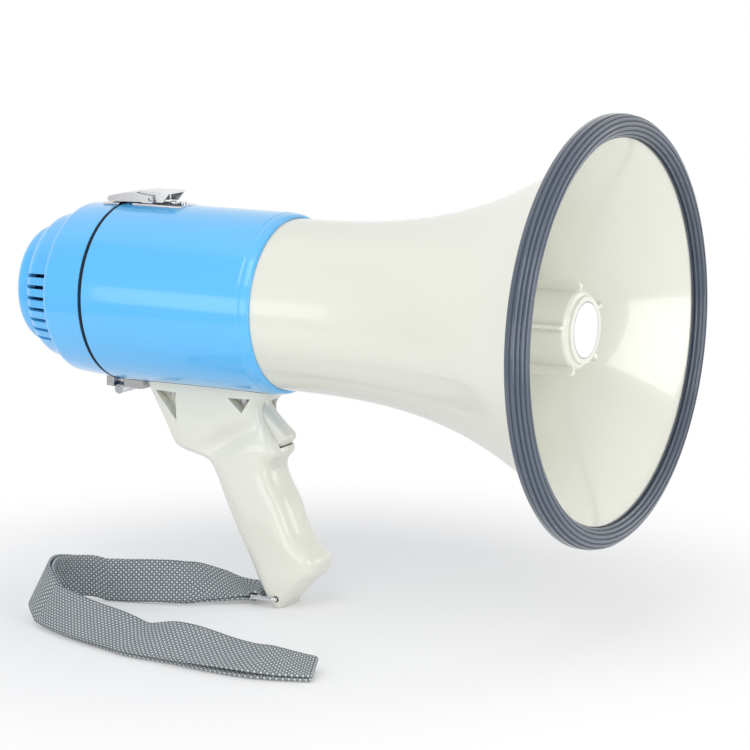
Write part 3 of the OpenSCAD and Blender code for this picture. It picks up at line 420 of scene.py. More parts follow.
def webbing(f, colours, sizes):
    """Coarse plain weave along the strap: raised and sunk yarn in turn, with painted shade on the sunk yarn
    and darker painted shade in the gaps between yarns.
    """
    # sunk and dark are the colours of the painted shade on the sunk yarn and in the gaps
    light, sunk, dark = (tuple(c) for c in (colours.yarn_light, colours.yarn_in_shade, colours.gap_shade))
    along, across, _ = f.place("UV")
    turn = pi / sizes.yarn
    weave = (along * turn).math("SINE") * (across * turn).math("SINE")
    fray = f.noise(2600.0, 3.0) - 0.5
    tone = f.noise(55.0, 3.0)
    body = weave.math("ABSOLUTE") + fray * 0.35
    # Painted shade: darker where the weave sinks, darkest in the gaps between yarns
    yarn = f.mix((weave + fray * 0.3).ramp(-0.1, 0.25), sunk, light)
    weave_with_shade = f.mix(body.ramp(0.05, 0.42), dark, yarn)
    return f.surface(
        base_color=f.mix(tone * 0.25, weave_with_shade, toned(sunk, 0.7)),
        roughness=0.86 - fray * 0.1,
        normal=f.bump(weave * 0.4 + body * 0.5, 0.6 * MM, 0.9),
    )


def printed_board(f):
    """Green laminate with paler tracks."""
    upright = {"Vector": f.coordinates.out("Object"), "Rotation": (0, pi / 2, 0)}
    tracks = f.node("ShaderNodeTexBrick", {
        "Vector": f.node("ShaderNodeMapping", upright), "Scale": 190.0, "Mortar Size": 0.02,
        "Color1": (0, 0, 0), "Color2": (0.1, 0.1, 0.1), "Mortar": (1, 1, 1),
    }).out("Fac")
    return f.surface(
        base_color=f.mix(tracks * 0.6, (0.015, 0.12, 0.05), (0.10, 0.32, 0.14)),
        roughness=0.35 + f.noise(90.0) * 0.1,
        normal=f.bump(tracks, 0.04 * MM, 0.5),
    )


def cell_sleeve(f):
    """Dark sleeve of a battery cell with a copper band at its top."""
    cell_pitch, band_start = 54.1, 36.0
    ahead, _, _ = f.place("Object", (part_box("battery_cells")[0].x, 0, 0))
    band = (ahead * (1 / MM)).math("MODULO", cell_pitch) > band_start
    return f.surface(
        base_color=f.mix(band, (0.02, 0.02, 0.025), (0.55, 0.28, 0.10)),
        metallic=band * 0.6,
        roughness=0.28 + f.noise(80.0) * 0.12,
    )


def finish_for(slot):
    """The material of a slot, made when it is first asked for."""
    name = "finish_" + slot
    made = bpy.data.materials.get(name)
    if made:
        return made
    scene = bpy.context.scene
    colours = scene.megaphone_colours
    cream = tuple(colours.cream)
    makers = {
        "cream_plastic": (moulded, cream),
        "blue_plastic": (moulded, tuple(colours.blue), 0.16, 0.7),
        "trigger_plastic": (moulded, toned(cream, 0.95), 0.24),
        "slate_rubber": (ridged_rubber, tuple(colours.slate), scene.megaphone_horn),
        "black_rubber": (rubbery, (0.012, 0.012, 0.016), 0.6),
        "white_plastic": (moulded, (0.85, 0.85, 0.84), 0.25),
        "black_plastic": (moulded, (0.015, 0.015, 0.018), 0.38, 0.0),
        "chrome": (plated, tuple(colours.chrome)),
        "steel": (plated, (0.52, 0.53, 0.55), 0.26),
        "magnet": (rubbery, (0.03, 0.03, 0.032), 0.55, 0.15),
        "brass": (plated, (0.72, 0.54, 0.24), 0.22),
        "board": (printed_board,),
        "aluminium": (plated, (0.72, 0.73, 0.75), 0.32),
        "cell_sleeve": (cell_sleeve,),
        "grey_webbing": (webbing, colours, scene.megaphone_strap),
    }
    maker, *values = makers[slot]
    return maker(new_finish(name), *values)


def mesh_of(name, bm):
    """A mesh made from a bmesh, which is freed."""
    mesh = bpy.data.meshes.new(name)
    bm.to_mesh(mesh)
    bm.free()
    return mesh


def placed(name, data):
    made = bpy.data.objects.new(name, data)
    bpy.context.scene.collection.objects.link(made)
    return made


def piece(name, bm, node, bevel=0.0, angle=35.0, rides=True):
    """Makes a piece that stands for a CAD node, with its finish and, unless it bends, its body."""
    mesh = mesh_of(name, bm)
    mesh.shade_smooth()
    mesh.set_sharp_from_angle(angle=radians(angle))
    mesh.materials.append(finish_for(SLOTS[node]))
    made = placed(name, mesh)
    if bevel:
        edge = made.modifiers.new("Edge", "BEVEL")
        edge.width = bevel
        edge.segments = 2
        edge.limit_method = "ANGLE"
        edge.angle_limit = radians(50)
    if rides:
        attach(made, frame["nodes"][node]["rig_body"])
    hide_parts(node)
    return made


def merged(node):
    """A CAD node's mesh with merged vertices and whole flat faces."""
    bm = bmesh.new()
    bm.from_mesh(frame["nodes"][node].data)
    bmesh.ops.remove_doubles(bm, verts=bm.verts, dist=2 * MERGE)
    bmesh.ops.dissolve_limit(bm, angle_limit=radians(0.4), verts=bm.verts, edges=bm.edges)
    return bm


def sliced(bm, places):
    """Cuts a mesh across at places along X, so that it can bend there."""
    for x in places:
        bmesh.ops.bisect_plane(
            bm, geom=[*bm.verts, *bm.edges, *bm.faces], dist=1e-7, plane_co=(x, 0, 0), plane_no=X_AXIS,
        )
    return bm


def skin(node, bevel=0.0):
    """A smooth copy of a CAD node, with softened edges where it has a bevel."""
    return piece(node + "_skin", merged(node), node, bevel)


def finish_nodes(*nodes):
    """Gives CAD nodes that stay as they are the finish of their slot."""
    for node in nodes:
        mesh = frame["nodes"][node].data
        mesh.materials.clear()
        mesh.materials.append(finish_for(SLOTS[node]))


def turned(steps, *outlines):
    """Solids turned about the horn's axis from closed outlines of points (radius, x)."""
    bm = bmesh.new()
    for outline in outlines:
        verts = [bm.verts.new((x, 0.0, AXIS_Z + radius)) for radius, x in outline]
        edges = [bm.edges.new((verts[i - 1], verts[i])) for i in range(len(verts))]
        bmesh.ops.spin(
            bm, geom=[*verts, *edges], cent=(0, 0, AXIS_Z), axis=X_AXIS, angle=tau,
            steps=steps, use_merge=True,
        )
    bmesh.ops.remove_doubles(bm, verts=bm.verts, dist=MERGE)
    bmesh.ops.recalc_face_normals(bm, faces=bm.faces)
    return bm


def laid_grid(rows, cols):
    """A grid to be laid out by hand, and its vertices as a list for each row."""
    bm = bmesh.new()
    bmesh.ops.create_grid(bm, x_segments=cols, y_segments=rows, size=0.5)
    verts = sorted(bm.verts, key=lambda vert: (round(vert.co.y, 6), round(vert.co.x, 6)))
    wide = cols + 1
    return bm, [verts[row * wide:(row + 1) * wide] for row in range(rows + 1)]


def quarter(radius, arcs):
    """Points of a quarter round about its centre."""
    turns = [pi / 2 * i / arcs for i in range(arcs + 1)]
    return [(radius * sin(turn), radius * cos(turn)) for turn in turns]


def capped(bm):
    """Closes the open ends of a loft."""
    bmesh.ops.holes_fill(bm, edges=[edge for edge in bm.edges if edge.is_boundary], sides=0)
    return bm


def extruded(bm, verts, way):
    """Draws a face out to a block and gives the vertices of its far side."""
    grown = bmesh.ops.extrude_face_region(bm, geom=[bm.faces.new(verts)])["geom"]
    moved = [item for item in grown if isinstance(item, bmesh.types.BMVert)]
    bmesh.ops.translate(bm, verts=moved, vec=way)
    return moved


def prism(bm, outline, low, high):
    """Adds a block between two Y values with an outline of seam-frame points (x, z) in millimetres."""
    verts = [bm.verts.new((SEAM_X + x * MM, low * MM, AXIS_Z + z * MM)) for x, z in outline]
    extruded(bm, verts, (0, (high - low) * MM, 0))


def rod(bm, centre, axis, radius, depth, segments=32):
    """Adds a cylinder along an axis."""
    turn = Vector((0, 0, 1)).rotation_difference(Vector(axis)).to_matrix().to_4x4()
    bmesh.ops.create_cone(
        bm, cap_ends=True, segments=segments, radius1=radius, radius2=radius, depth=depth,
        matrix=Matrix.Translation(centre) @ turn,
    )


def carved(solid, cutter):
    """The solid with the cutter's shapes taken out of it."""
    made = []
    for bm in (solid, cutter):
        bmesh.ops.recalc_face_normals(bm, faces=bm.faces)
        made.append(placed("carving", mesh_of("carving", bm)))
    cut = made[0].modifiers.new("Cut", "BOOLEAN")
    cut.operation = "DIFFERENCE"
    cut.solver = "EXACT"
    cut.object = made[1]
    result = bmesh.new()
    result.from_object(made[0], bpy.context.evaluated_depsgraph_get())
    for item in made:
        mesh = item.data
        bpy.data.objects.remove(item)
        bpy.data.meshes.remove(mesh)
    return result


def eased(rows, column):
    """A smooth function from the first column of rows to another, without overshoot."""
    xs = [row[0] for row in rows]
    ys = [row[column] for row in rows]
    steps = [(ys[i + 1] - ys[i]) / (xs[i + 1] - xs[i]) for i in range(len(xs) - 1)]
    middle = [2 * a * b / (a + b) if a * b > 0 else 0.0 for a, b in zip(steps, steps[1:])]
    slopes = [steps[0], *middle, steps[-1]]

    def at(x):
        i = min(max(bisect_right(xs, x) - 1, 0), len(xs) - 2)
        wide = xs[i + 1] - xs[i]
        k = (x - xs[i]) / wide
        rest = 1 - k
        first = ys[i] * (1 + 2 * k) * rest * rest + slopes[i] * wide * k * rest * rest
        second = ys[i + 1] * k * k * (3 - 2 * k) - slopes[i + 1] * wide * k * k * rest
        return first + second

    return at


def window(place, middle, reach):
    """A share that falls evenly from 1 at a middle to 0 at a reach from it."""
    return max(0.0, 1 - abs(place - middle) / reach)


def smooth(share):
    """A share from 0 to 1 with soft ends."""
    return share * share * (3 - 2 * share)


class MEGAPHONE_OT_horn(Operator):
    """Turn the horn's bell with its neck and edge flange, and dress its bulkhead"""

    bl_idname = "megaphone.horn"
    bl_label = "Horn"

    def execute(self, context):
        sizes = context.scene.megaphone_horn
        flange = HORN_HIGH.z - AXIS_Z
        end = flange - sizes.edge
        back = HORN_HIGH.x - sizes.wall
        count = 48
        flare = []
        for i in range(count + 1):
            share = i / count
            radius = sizes.neck + (end - sizes.neck) * share ** sizes.power
            flare.append((radius, BODY_X + (back - BODY_X) * share))
        inside = [(radius - sizes.wall, x) for radius, x in reversed(flare)]
        outline = [
            (sizes.neck, HORN_LOW.x), *flare, (flange, back), (flange, HORN_HIGH.x), (end, HORN_HIGH.x),
            *inside, (sizes.neck - sizes.wall, HORN_LOW.x),
        ]
        piece("horn_bell", turned(sizes.turns, outline), "horn")
        skin("horn_bulkhead", SOFT_EDGE)
        return {"FINISHED"}


class MEGAPHONE_OT_rim(Operator):
    """Turn the ridged rubber rim"""

    bl_idname = "megaphone.rim"
    bl_label = "Rubber rim"

    def execute(self, context):
        sizes = context.scene.megaphone_horn
        half = sizes.rubber / 2
        mouth = RIM_HIGH.z - AXIS_Z
        flange = HORN_HIGH.z - AXIS_Z
        gap, lift, clear, corner = 0.1 * MM, 0.15 * MM, 0.5 * MM, 1 * MM
        count = 16 * sizes.ridges
        outline = []
        for i in range(count + 1):
            turn = pi * i / count
            reach = half - sizes.ridge * abs(sin(turn * sizes.ridges)) ** 3
            ahead = MOUTH_X - half + reach * sin(turn) + lift
            outline.append((mouth - half - reach * cos(turn), min(MOUTH_X, ahead)))
        inner = flange - sizes.edge + clear
        back, front = HORN_HIGH.x - sizes.wall - gap, HORN_HIGH.x + gap
        outline += [
            (mouth, RIM_LOW.x + corner), (mouth - corner, RIM_LOW.x), (inner, RIM_LOW.x), (inner, back),
            (flange + gap, back), (flange + gap, front), (mouth - sizes.rubber, front),
        ]
        piece("rubber_rim", turned(sizes.turns, outline), "rim_bumper", angle=50)
        return {"FINISHED"}


class MEGAPHONE_OT_tone_guide(Operator):
    """Dress the tone guide with its fins, badge disc and throat tube"""

    bl_idname = "megaphone.tone_guide"
    bl_label = "Tone guide"

    def execute(self, context):
        sizes = context.scene.megaphone_guide
        low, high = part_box("tone_guide")
        reach = high.z - AXIS_Z
        sunk, edge = 1 * MM, 0.35 * MM
        bm = self.cup(sizes, low.x, high.x, reach)
        for i in range(sizes.fins):
            turn = sizes.turn + tau * i / sizes.fins
            self.fin(bm, sizes, low.x + sunk, high.x, reach, turn)
        bmesh.ops.recalc_face_normals(bm, faces=bm.faces)
        piece("guide_cup", bm, "tone_guide", edge)
        badge = skin("badge_disc")
        badge.data.materials.clear()
        badge.data.materials.append(badge_white(new_finish("finish_badge")))
        skin("throat_tube")
        return {"FINISHED"}

    def cup(self, sizes, rear, front, reach):
        """The cup with its rounded shoulder, ring and badge seat, and the flange at its foot."""
        play, step, inset, vent, foot = 0.05 * MM, 2 * MM, 0.4 * MM, 2 * MM, 3 * MM
        arcs, turns = 8, 128
        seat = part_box("badge_disc")[1].z - AXIS_Z + play
        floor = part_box("badge_disc")[0].x
        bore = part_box("throat_tube")[1].z - AXIS_Z + play
        shoulder = sizes.cup - sizes.ring
        inner = sizes.cup - sizes.wall
        start, top = front - sizes.length, front - step
        outline = [(sizes.cup, start)]
        outline += [(sizes.ring + out, top - shoulder + ahead) for ahead, out in quarter(shoulder, arcs)]
        outline += [
            (sizes.ring - inset, top), (sizes.ring - inset, front), (seat, front), (seat, floor),
            (vent, floor), (vent, floor - sizes.wall), (inner - shoulder, top - sizes.wall),
            (inner, top - shoulder - sizes.wall), (inner, start),
        ]
        flange = [(bore, rear), (reach, rear), (reach, rear + foot), (bore, rear + foot)]
        return turned(turns, outline, flange)

    def fin(self, bm, sizes, rear, front, reach, turn):
        """Adds a fin with a rounded front corner, turned about the horn's axis."""
        short, corner, sunk = 1.2 * MM, 3 * MM, 1 * MM
        back_at_ring, back_at_cup = 2.2 * MM, 8 * MM
        arcs = 6
        tip = front - short
        outline = [(rear, sizes.cup - sunk), (rear, reach)]
        outline += [(tip - corner + ahead, reach - corner + out) for ahead, out in quarter(corner, arcs)]
        outline += [(tip - back_at_ring, sizes.ring), (tip - back_at_cup, sizes.cup - sunk)]
        verts = [bm.verts.new((x, -sizes.fin / 2, AXIS_Z + radius)) for x, radius in outline]
        moved = extruded(bm, verts, (0, sizes.fin, 0))
        spin = Matrix.Rotation(turn, 3, "X")
        bmesh.ops.rotate(bm, verts=[*verts, *moved], cent=(0, 0, AXIS_Z), matrix=spin)


class MEGAPHONE_OT_body(Operator):
    """Dress the battery body, the vented rear cover, the black ring at its seam, the microphone grille and
    the volume knob
    """

    bl_idname = "megaphone.body"
    bl_label = "Body and cover"

    def execute(self, context):
        piece("main_body_skin", self.grooved(), "main_body")
        skin("rear_cover")
        skin("mic_grille")
        skin("volume_knob", SOFT_EDGE)
        # A black ring at the outside of the seam draws a black line round it
        inner, outer, turns = 51.8 * MM, 53.12 * MM, 160
        rear, front = SEAM_X - 0.9 * MM, SEAM_X + 0.7 * MM
        black_ring = turned(turns, [(inner, rear), (outer, rear), (outer, front), (inner, front)])
        piece("seam_black_ring", black_ring, "cover_gasket", FINE_EDGE)
        return {"FINISHED"}

    def grooved(self):
        """The body with a shallow groove behind its rolled lip."""
        middle, wide, deep = BODY_X - 6.4 * MM, 0.9 * MM, 0.45 * MM
        inside, reach, slices = 51.5 * MM, 2.5, 6
        bm = sliced(merged("main_body"), [middle + wide * i / 3 for i in range(-slices, slices + 1)])
        for vert in bm.verts:
            off = (vert.co.x - middle) / wide
            out = Vector((0, vert.co.y, vert.co.z - AXIS_Z))
            if abs(off) < reach and out.length > inside:
                vert.co -= out.normalized() * deep * exp(-off * off)
        return bm


# Depth, rear and front edge from body and seam in millimetres, and share of the half thickness
GRIP_ROWS = (
    (-6, 14, 105, 1), (1.5, 17.5, 102, 1), (7.5, 21, 96.5, 1), (13.5, 24.5, 97, 1), (21.5, 29, 102, 1),
    (30.5, 33.5, 108, 1), (34, 35.5, 109.5, 1), (37, 40, 107, 1), (39.5, 57, 104, 1),
    (43.5, 62, 103, 0.98), (65, 72, 113, 0.97), (82, 80, 120.5, 0.95), (90, 84, 127, 0.94),
    (96, 87, 133, 0.93), (102, 90, 133, 0.91), (109, 93.5, 126, 0.88), (116, 97.5, 118.5, 0.82),
    (122, 101, 113, 0.76), (125.5, 105, 109.5, 0.65),
)

# Line of the soft hollow between saddle and handle, in X and Z, and its half width
CREASE_START = Vector((SEAM_X + 55 * MM, AXIS_Z - 93 * MM))
CREASE_LINE = Vector((SEAM_X + 103 * MM, AXIS_Z - 66.5 * MM)) - CREASE_START
CREASE_WIDE = 6 * MM

# Outlines of the screw pockets on each flank, in seam-frame millimetres
POCKET_TOP = -55.5
SCREW_POCKETS = (
    ((26.6, POCKET_TOP), (42, POCKET_TOP), (42, POCKET_TOP - 17)),
    ((78, POCKET_TOP), (92, POCKET_TOP), (86.5, POCKET_TOP - 8.5)),
)

# Depth, rear and front edge from the trigger's pin in millimetres
TRIGGER_PIN = Vector((SEAM_X + 91.5 * MM, 0, AXIS_Z - 62 * MM))
TRIGGER_ROWS = (
    (-4, -0.5, 4.2), (-2, -3.6, 4.7), (0, -4.2, 5.7), (2, -3.6, 7.3), (4, -2, 9), (7, -2, 12),
    (10, -2, 15.3), (13, -2, 18.8), (15, -2, 20.7), (16.7, -2, 20.9), (18.5, -2, 19.5),
    (20.5, -2, 17.4), (22.5, -2, 14.7), (24.5, -2, 11.1), (26, -2, 6.9),
)


class MEGAPHONE_OT_grip(Operator):
    """Loft and carve the pistol grip and its trigger, and dress its screws and pin"""

    bl_idname = "megaphone.grip"
    bl_label = "Grip and trigger"

    def execute(self, context):
        edge = 0.5 * MM
        shell = carved(self.loft(context.scene.megaphone_grip), self.cuts())
        piece("grip_shell", shell, "grip", edge, 30)
        blade = carved(self.blade(), self.pin_hole())
        piece("trigger_blade", blade, "trigger", angle=40)
        skin("grip_screws")
        skin("trigger_pin")
        return {"FINISHED"}

    def loft(self, sizes):
        """The grip's outside, laid ring by ring from the body down and smoothed."""
        rows, sides, rounds, flank_power = 110, 120, 6, 4
        rear, front, share = (eased(GRIP_ROWS, column) for column in (1, 2, 3))
        first, last = GRIP_ROWS[0][0], GRIP_ROWS[-1][0]
        bm, lines = laid_grid(rows, sides)
        for row, line in enumerate(lines):
            depth = first + (last - first) * row / rows
            middle = SEAM_X + MM * (front(depth) + rear(depth)) / 2
            reach = MM * (front(depth) - rear(depth)) / 2
            half = sizes.half * share(depth)
            z = BODY_LOW.z - depth * MM
            for vert, (ahead, across) in zip(line, self.ring(reach, half, sizes.square, sides)):
                x = middle + ahead
                hollow = sizes.crease * self.crease(x, z) * (abs(across) / half) ** flank_power
                vert.co = (x, across - copysign(hollow, across), z)
        bmesh.ops.remove_doubles(bm, verts=bm.verts, dist=MERGE)
        for _ in range(rounds):
            bmesh.ops.smooth_vert(bm, verts=bm.verts, factor=0.5, use_axis_x=True, use_axis_y=True)
        return capped(bm)

    def ring(self, reach, half, power, sides):
        """Points spaced evenly round a rounded rectangle, the last on the first."""
        fine = 40 * sides
        spots = []
        for i in range(fine + 1):
            turn = tau * i / fine
            ahead, across = cos(turn), sin(turn)
            spots.append(Vector((
                reach * copysign(abs(ahead) ** (2 / power), ahead),
                half * copysign(abs(across) ** (2 / power), across),
            )))
        run = [0.0]
        for a, b in zip(spots, spots[1:]):
            run.append(run[-1] + (b - a).length)
        chosen = [bisect_right(run, run[-1] * i / sides) - 1 for i in range(sides)]
        return [spots[i] for i in chosen] + [spots[0]]

    def crease(self, x, z):
        """Depth from 0 to 1 of the hollow between saddle and handle."""
        spot = Vector((x, z)) - CREASE_START
        off = CREASE_LINE.cross(spot) / CREASE_LINE.length / CREASE_WIDE
        along = spot.dot(CREASE_LINE) / CREASE_LINE.length_squared
        ends = min(max((along + 0.15) / 0.6, 0), 1) * min(max((1.1 - along) / 0.3, 0), 1)
        return exp(-off * off) * ends

    def cuts(self):
        """The body's bed, the screw pockets, the trigger's slot and the bail's hole."""
        bed, bed_length, bed_segments = 53.1 * MM, 240 * MM, 160
        pocket_floor, outside, half_slot = 8.3, 19, 7.3
        bail_hole, bail_wire, through = 2 * MM, 2.5 * MM, 60 * MM
        bm = bmesh.new()
        rod(bm, Vector((SEAM_X + 70 * MM, 0, AXIS_Z)), X_AXIS, bed, bed_length, bed_segments)
        for outline in SCREW_POCKETS:
            prism(bm, outline, pocket_floor, outside)
            prism(bm, outline, -outside, -pocket_floor)
        prism(bm, self.slot(), -half_slot, half_slot)
        low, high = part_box("strap_bail")
        hole = Vector((high.x - bail_wire / 2, 0, (low.z + high.z) / 2))
        rod(bm, hole, Y_AXIS, bail_hole, through)
        return bm

    def slot(self):
        """Outline of the trigger's slot about its pin, in seam-frame millimetres."""
        reach, above, behind, arcs = 27.6, 4.8, 5, 24
        x, z = (TRIGGER_PIN.x - SEAM_X) / MM, (TRIGGER_PIN.z - AXIS_Z) / MM
        start = asin(above / reach)
        stop = -pi + acos(behind / reach)
        outline = [(x - behind, z + above)]
        for i in range(arcs + 1):
            turn = start + (stop - start) * i / arcs
            outline.append((x + reach * cos(turn), z + reach * sin(turn)))
        return outline

    def blade(self):
        """The trigger's blade: hollow above, a rounded nose below and a bullnose front."""
        rows, arcs, bulge = 60, 32, 0.72
        longest_nose, nose_share = 5.5 * MM, 0.8
        rear, front = (eased(TRIGGER_ROWS, column) for column in (1, 2))
        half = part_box("trigger")[1].y
        first, last = TRIGGER_ROWS[0][0], TRIGGER_ROWS[-1][0]
        bm, lines = laid_grid(rows, arcs + 3)
        for row, line in enumerate(lines):
            depth = first + (last - first) * row / rows
            tip, tail = front(depth) * MM, rear(depth) * MM
            nose = min(longest_nose, nose_share * (tip - tail))
            ring = []
            for i in range(arcs + 1):
                turn = pi * (i / arcs - 0.5)
                across = copysign(abs(sin(turn)) ** bulge, turn)
                ring.append((tip - nose + nose * abs(cos(turn)) ** bulge, half * across))
            ring += [(tail, half), (tail, -half), ring[0]]
            for vert, (ahead, across) in zip(line, ring):
                vert.co = TRIGGER_PIN + Vector((ahead, across, -depth * MM))
        bmesh.ops.remove_doubles(bm, verts=bm.verts, dist=MERGE)
        return capped(bm)

    def pin_hole(self):
        radius, through = 1.55 * MM, 40 * MM
        bm = bmesh.new()
        rod(bm, TRIGGER_PIN, Y_AXIS, radius, through)
        return bm


class MEGAPHONE_OT_latch(Operator):
    """Dress the draw latch on the body and its keeper on the cover"""

    bl_idname = "megaphone.latch"
    bl_label = "Draw latch"

    def execute(self, context):
        for node in ("latch_base", "latch_keeper", "latch_lever_pin", "latch_rivets", "keeper_rivets"):
            skin(node, THIN_EDGE)
        hole, hole_depth, hole_segments, outside = 0.85 * MM, 4 * MM, 24, 20
        low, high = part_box("latch_claw_pins")
        centre = (low + high) / 2
        slots, holes = bmesh.new(), bmesh.new()
        prism(slots, self.slot(centre), -outside, outside)
        lever = carved(merged("latch_lever"), slots)
        piece("latch_lever_skin", lever, "latch_lever", FINE_EDGE)
        for side in (low.y, high.y):
            rod(holes, Vector((centre.x, side, centre.z)), Y_AXIS, hole, hole_depth, hole_segments)
        pins = carved(merged("latch_claw_pins"), holes)
        piece("latch_claw_pins_skin", pins, "latch_claw_pins", FINE_EDGE)
        piece("latch_claw_skin", self.nosed(), "latch_claw", SOFT_EDGE)
        return {"FINISHED"}

    def slot(self, centre):
        """Outline of the slot round the front of the claw's pins, in seam-frame millimetres."""
        inner, outer, spread, arcs = 2.7, 3.6, 55, 10
        x, z = (centre.x - SEAM_X) / MM, (centre.z - AXIS_Z) / MM
        turns = [radians(-spread + 2 * spread * i / arcs) for i in range(arcs + 1)]
        rings = [(outer, turn) for turn in turns] + [(inner, turn) for turn in reversed(turns)]
        return [(x + radius * cos(turn), z + radius * sin(turn)) for radius, turn in rings]

    def nosed(self):
        """The claw with its rear end drawn down to a rounded nose."""
        low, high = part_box("latch_claw")
        run, nose, cheek, flank = 20 * MM, 2.6 * MM, 5.1 * MM, 1.5 * MM
        droop, curl, lift = 2.0 * MM, 1.2 * MM, 1.0 * MM
        slices = 18
        bm = sliced(merged("latch_claw"), [low.x + run * (i / slices) ** 2 for i in range(1, slices)])
        for vert in bm.verts:
            past = vert.co.x - low.x
            lean = max(0.0, 1 - past / run)
            bend = 1 - sqrt(max(0.0, 1 - max(0.0, 1 - past / nose) ** 2))
            if vert.co.z > high.z - cheek / 2:
                vert.co.z -= droop * lean * lean + curl * bend
            elif abs(vert.co.y) > high.y - flank:
                vert.co.z += lift * bend
        return bm


class MEGAPHONE_OT_hinge(Operator):
    """Dress the hinge under the seam"""

    bl_idname = "megaphone.hinge"
    bl_label = "Hinge"

    def execute(self, context):
        for node in (
            "hinge_body_leaf", "hinge_cover_leaf", "hinge_pin", "hinge_body_rivets", "hinge_cover_rivets",
        ):
            skin(node, THIN_EDGE)
        return {"FINISHED"}


class MEGAPHONE_OT_insides(Operator):
    """Give the driver, the batteries and the amplifier their finishes"""

    bl_idname = "megaphone.insides"
    bl_label = "Driver, batteries and amplifier"

    def execute(self, context):
        for node in (
            "battery_tray", "battery_cells", "amplifier_parts", "heat_sink", "driver_yoke", "driver_magnet",
        ):
            skin(node, THIN_EDGE)
        finish_nodes(
            "amplifier_board", "board_screws", "mic_capsule", "volume_shaft", "volume_control",
            "driver_plate", "driver_diaphragm", "driver_screws", "battery_contacts", "trigger_switch",
        )
        return {"FINISHED"}


# Points of the strap's middle in millimetres, and its lean in degrees
STRAP_ROUTE = (
    (-36.5, 0, 5.5, 180), (-45.5, -1, 5.5, 174), (-56, -10, 9, 156), (-75, -27, 11.5, 122),
    (-98, -39, 0, 96), (-118, -48, 13.5, 82), (-132, -58, 16, 75), (-137, -74, 19, 68),
    (-132, -91, 18, 63), (-118, -106, 14, 57), (-100, -116, 0, 51), (-75, -125, 0, 41),
    (-48, -132, 0, 33), (-28, -136, 0, 30), (6, -139, 0, 33), (40, -139, 0, 20), (56, -136, 0, 18),
    (73, -129, 0, 9),
)
STRAP_LAST = len(STRAP_ROUTE) - 1

# Places on the route where the strap's start ends and where its layers have met
STRAP_BEND = 7
WRAP_REACH = 1.4

# A ripple in the strap's lean: its place and reach on the route, its degrees and its rate
RIPPLE_PLACE, RIPPLE_REACH, RIPPLE_LEAN, RIPPLE_RATE = 13.4, 2.6, 7, 2.9

# Where the lower layer gapes, how far along the route, and by how much
GAPE_PLACE, GAPE_REACH, GAPE = 14.6, 2.2, 1.6 * MM

# Thickness that the weave adds, and the strap's height above the floor
STRAP_PLAY, STRAP_LIFT = 0.4 * MM, 0.2 * MM


def along_route(place, sizes):
    """The doubled strap's middle and its lean, at a place between points of its route."""
    i = min(int(place), STRAP_LAST - 1)
    k = place - i
    a, b, c, d = (Vector(STRAP_ROUTE[min(max(j, 0), STRAP_LAST)]) for j in (i - 1, i, i + 1, i + 2))
    second = (2 * a - 5 * b + 4 * c - d) * k * k / 2
    third = (3 * b - a - 3 * c + d) * k ** 3 / 2
    x, y, z, degrees = b + (c - a) * k / 2 + second + third
    ripple = RIPPLE_LEAN * window(place, RIPPLE_PLACE, RIPPLE_REACH) * sin(RIPPLE_RATE * place)
    lean = radians(degrees + ripple)
    thick = sizes.apart + sizes.layer + STRAP_PLAY
    lie = sizes.width / 2 * abs(sin(lean)) + thick / 2 * abs(cos(lean)) + STRAP_LIFT
    return Vector((x * MM, y * MM, max(z * MM, lie))), lean


def strap_axes(place, sizes):
    """The strap's middle at a place, and its directions along, across and out of its face."""
    near = 0.02
    middle, lean = along_route(place, sizes)
    ahead, _ = along_route(min(place + near, STRAP_LAST), sizes)
    behind, _ = along_route(max(place - near, 0), sizes)
    way = ahead - behind
    way = Vector((way.x, way.y, 0)).normalized()
    across = Vector((-way.y, way.x, 0)) * cos(lean) + Vector((0, 0, sin(lean)))
    return middle, way, across, across.cross(way)


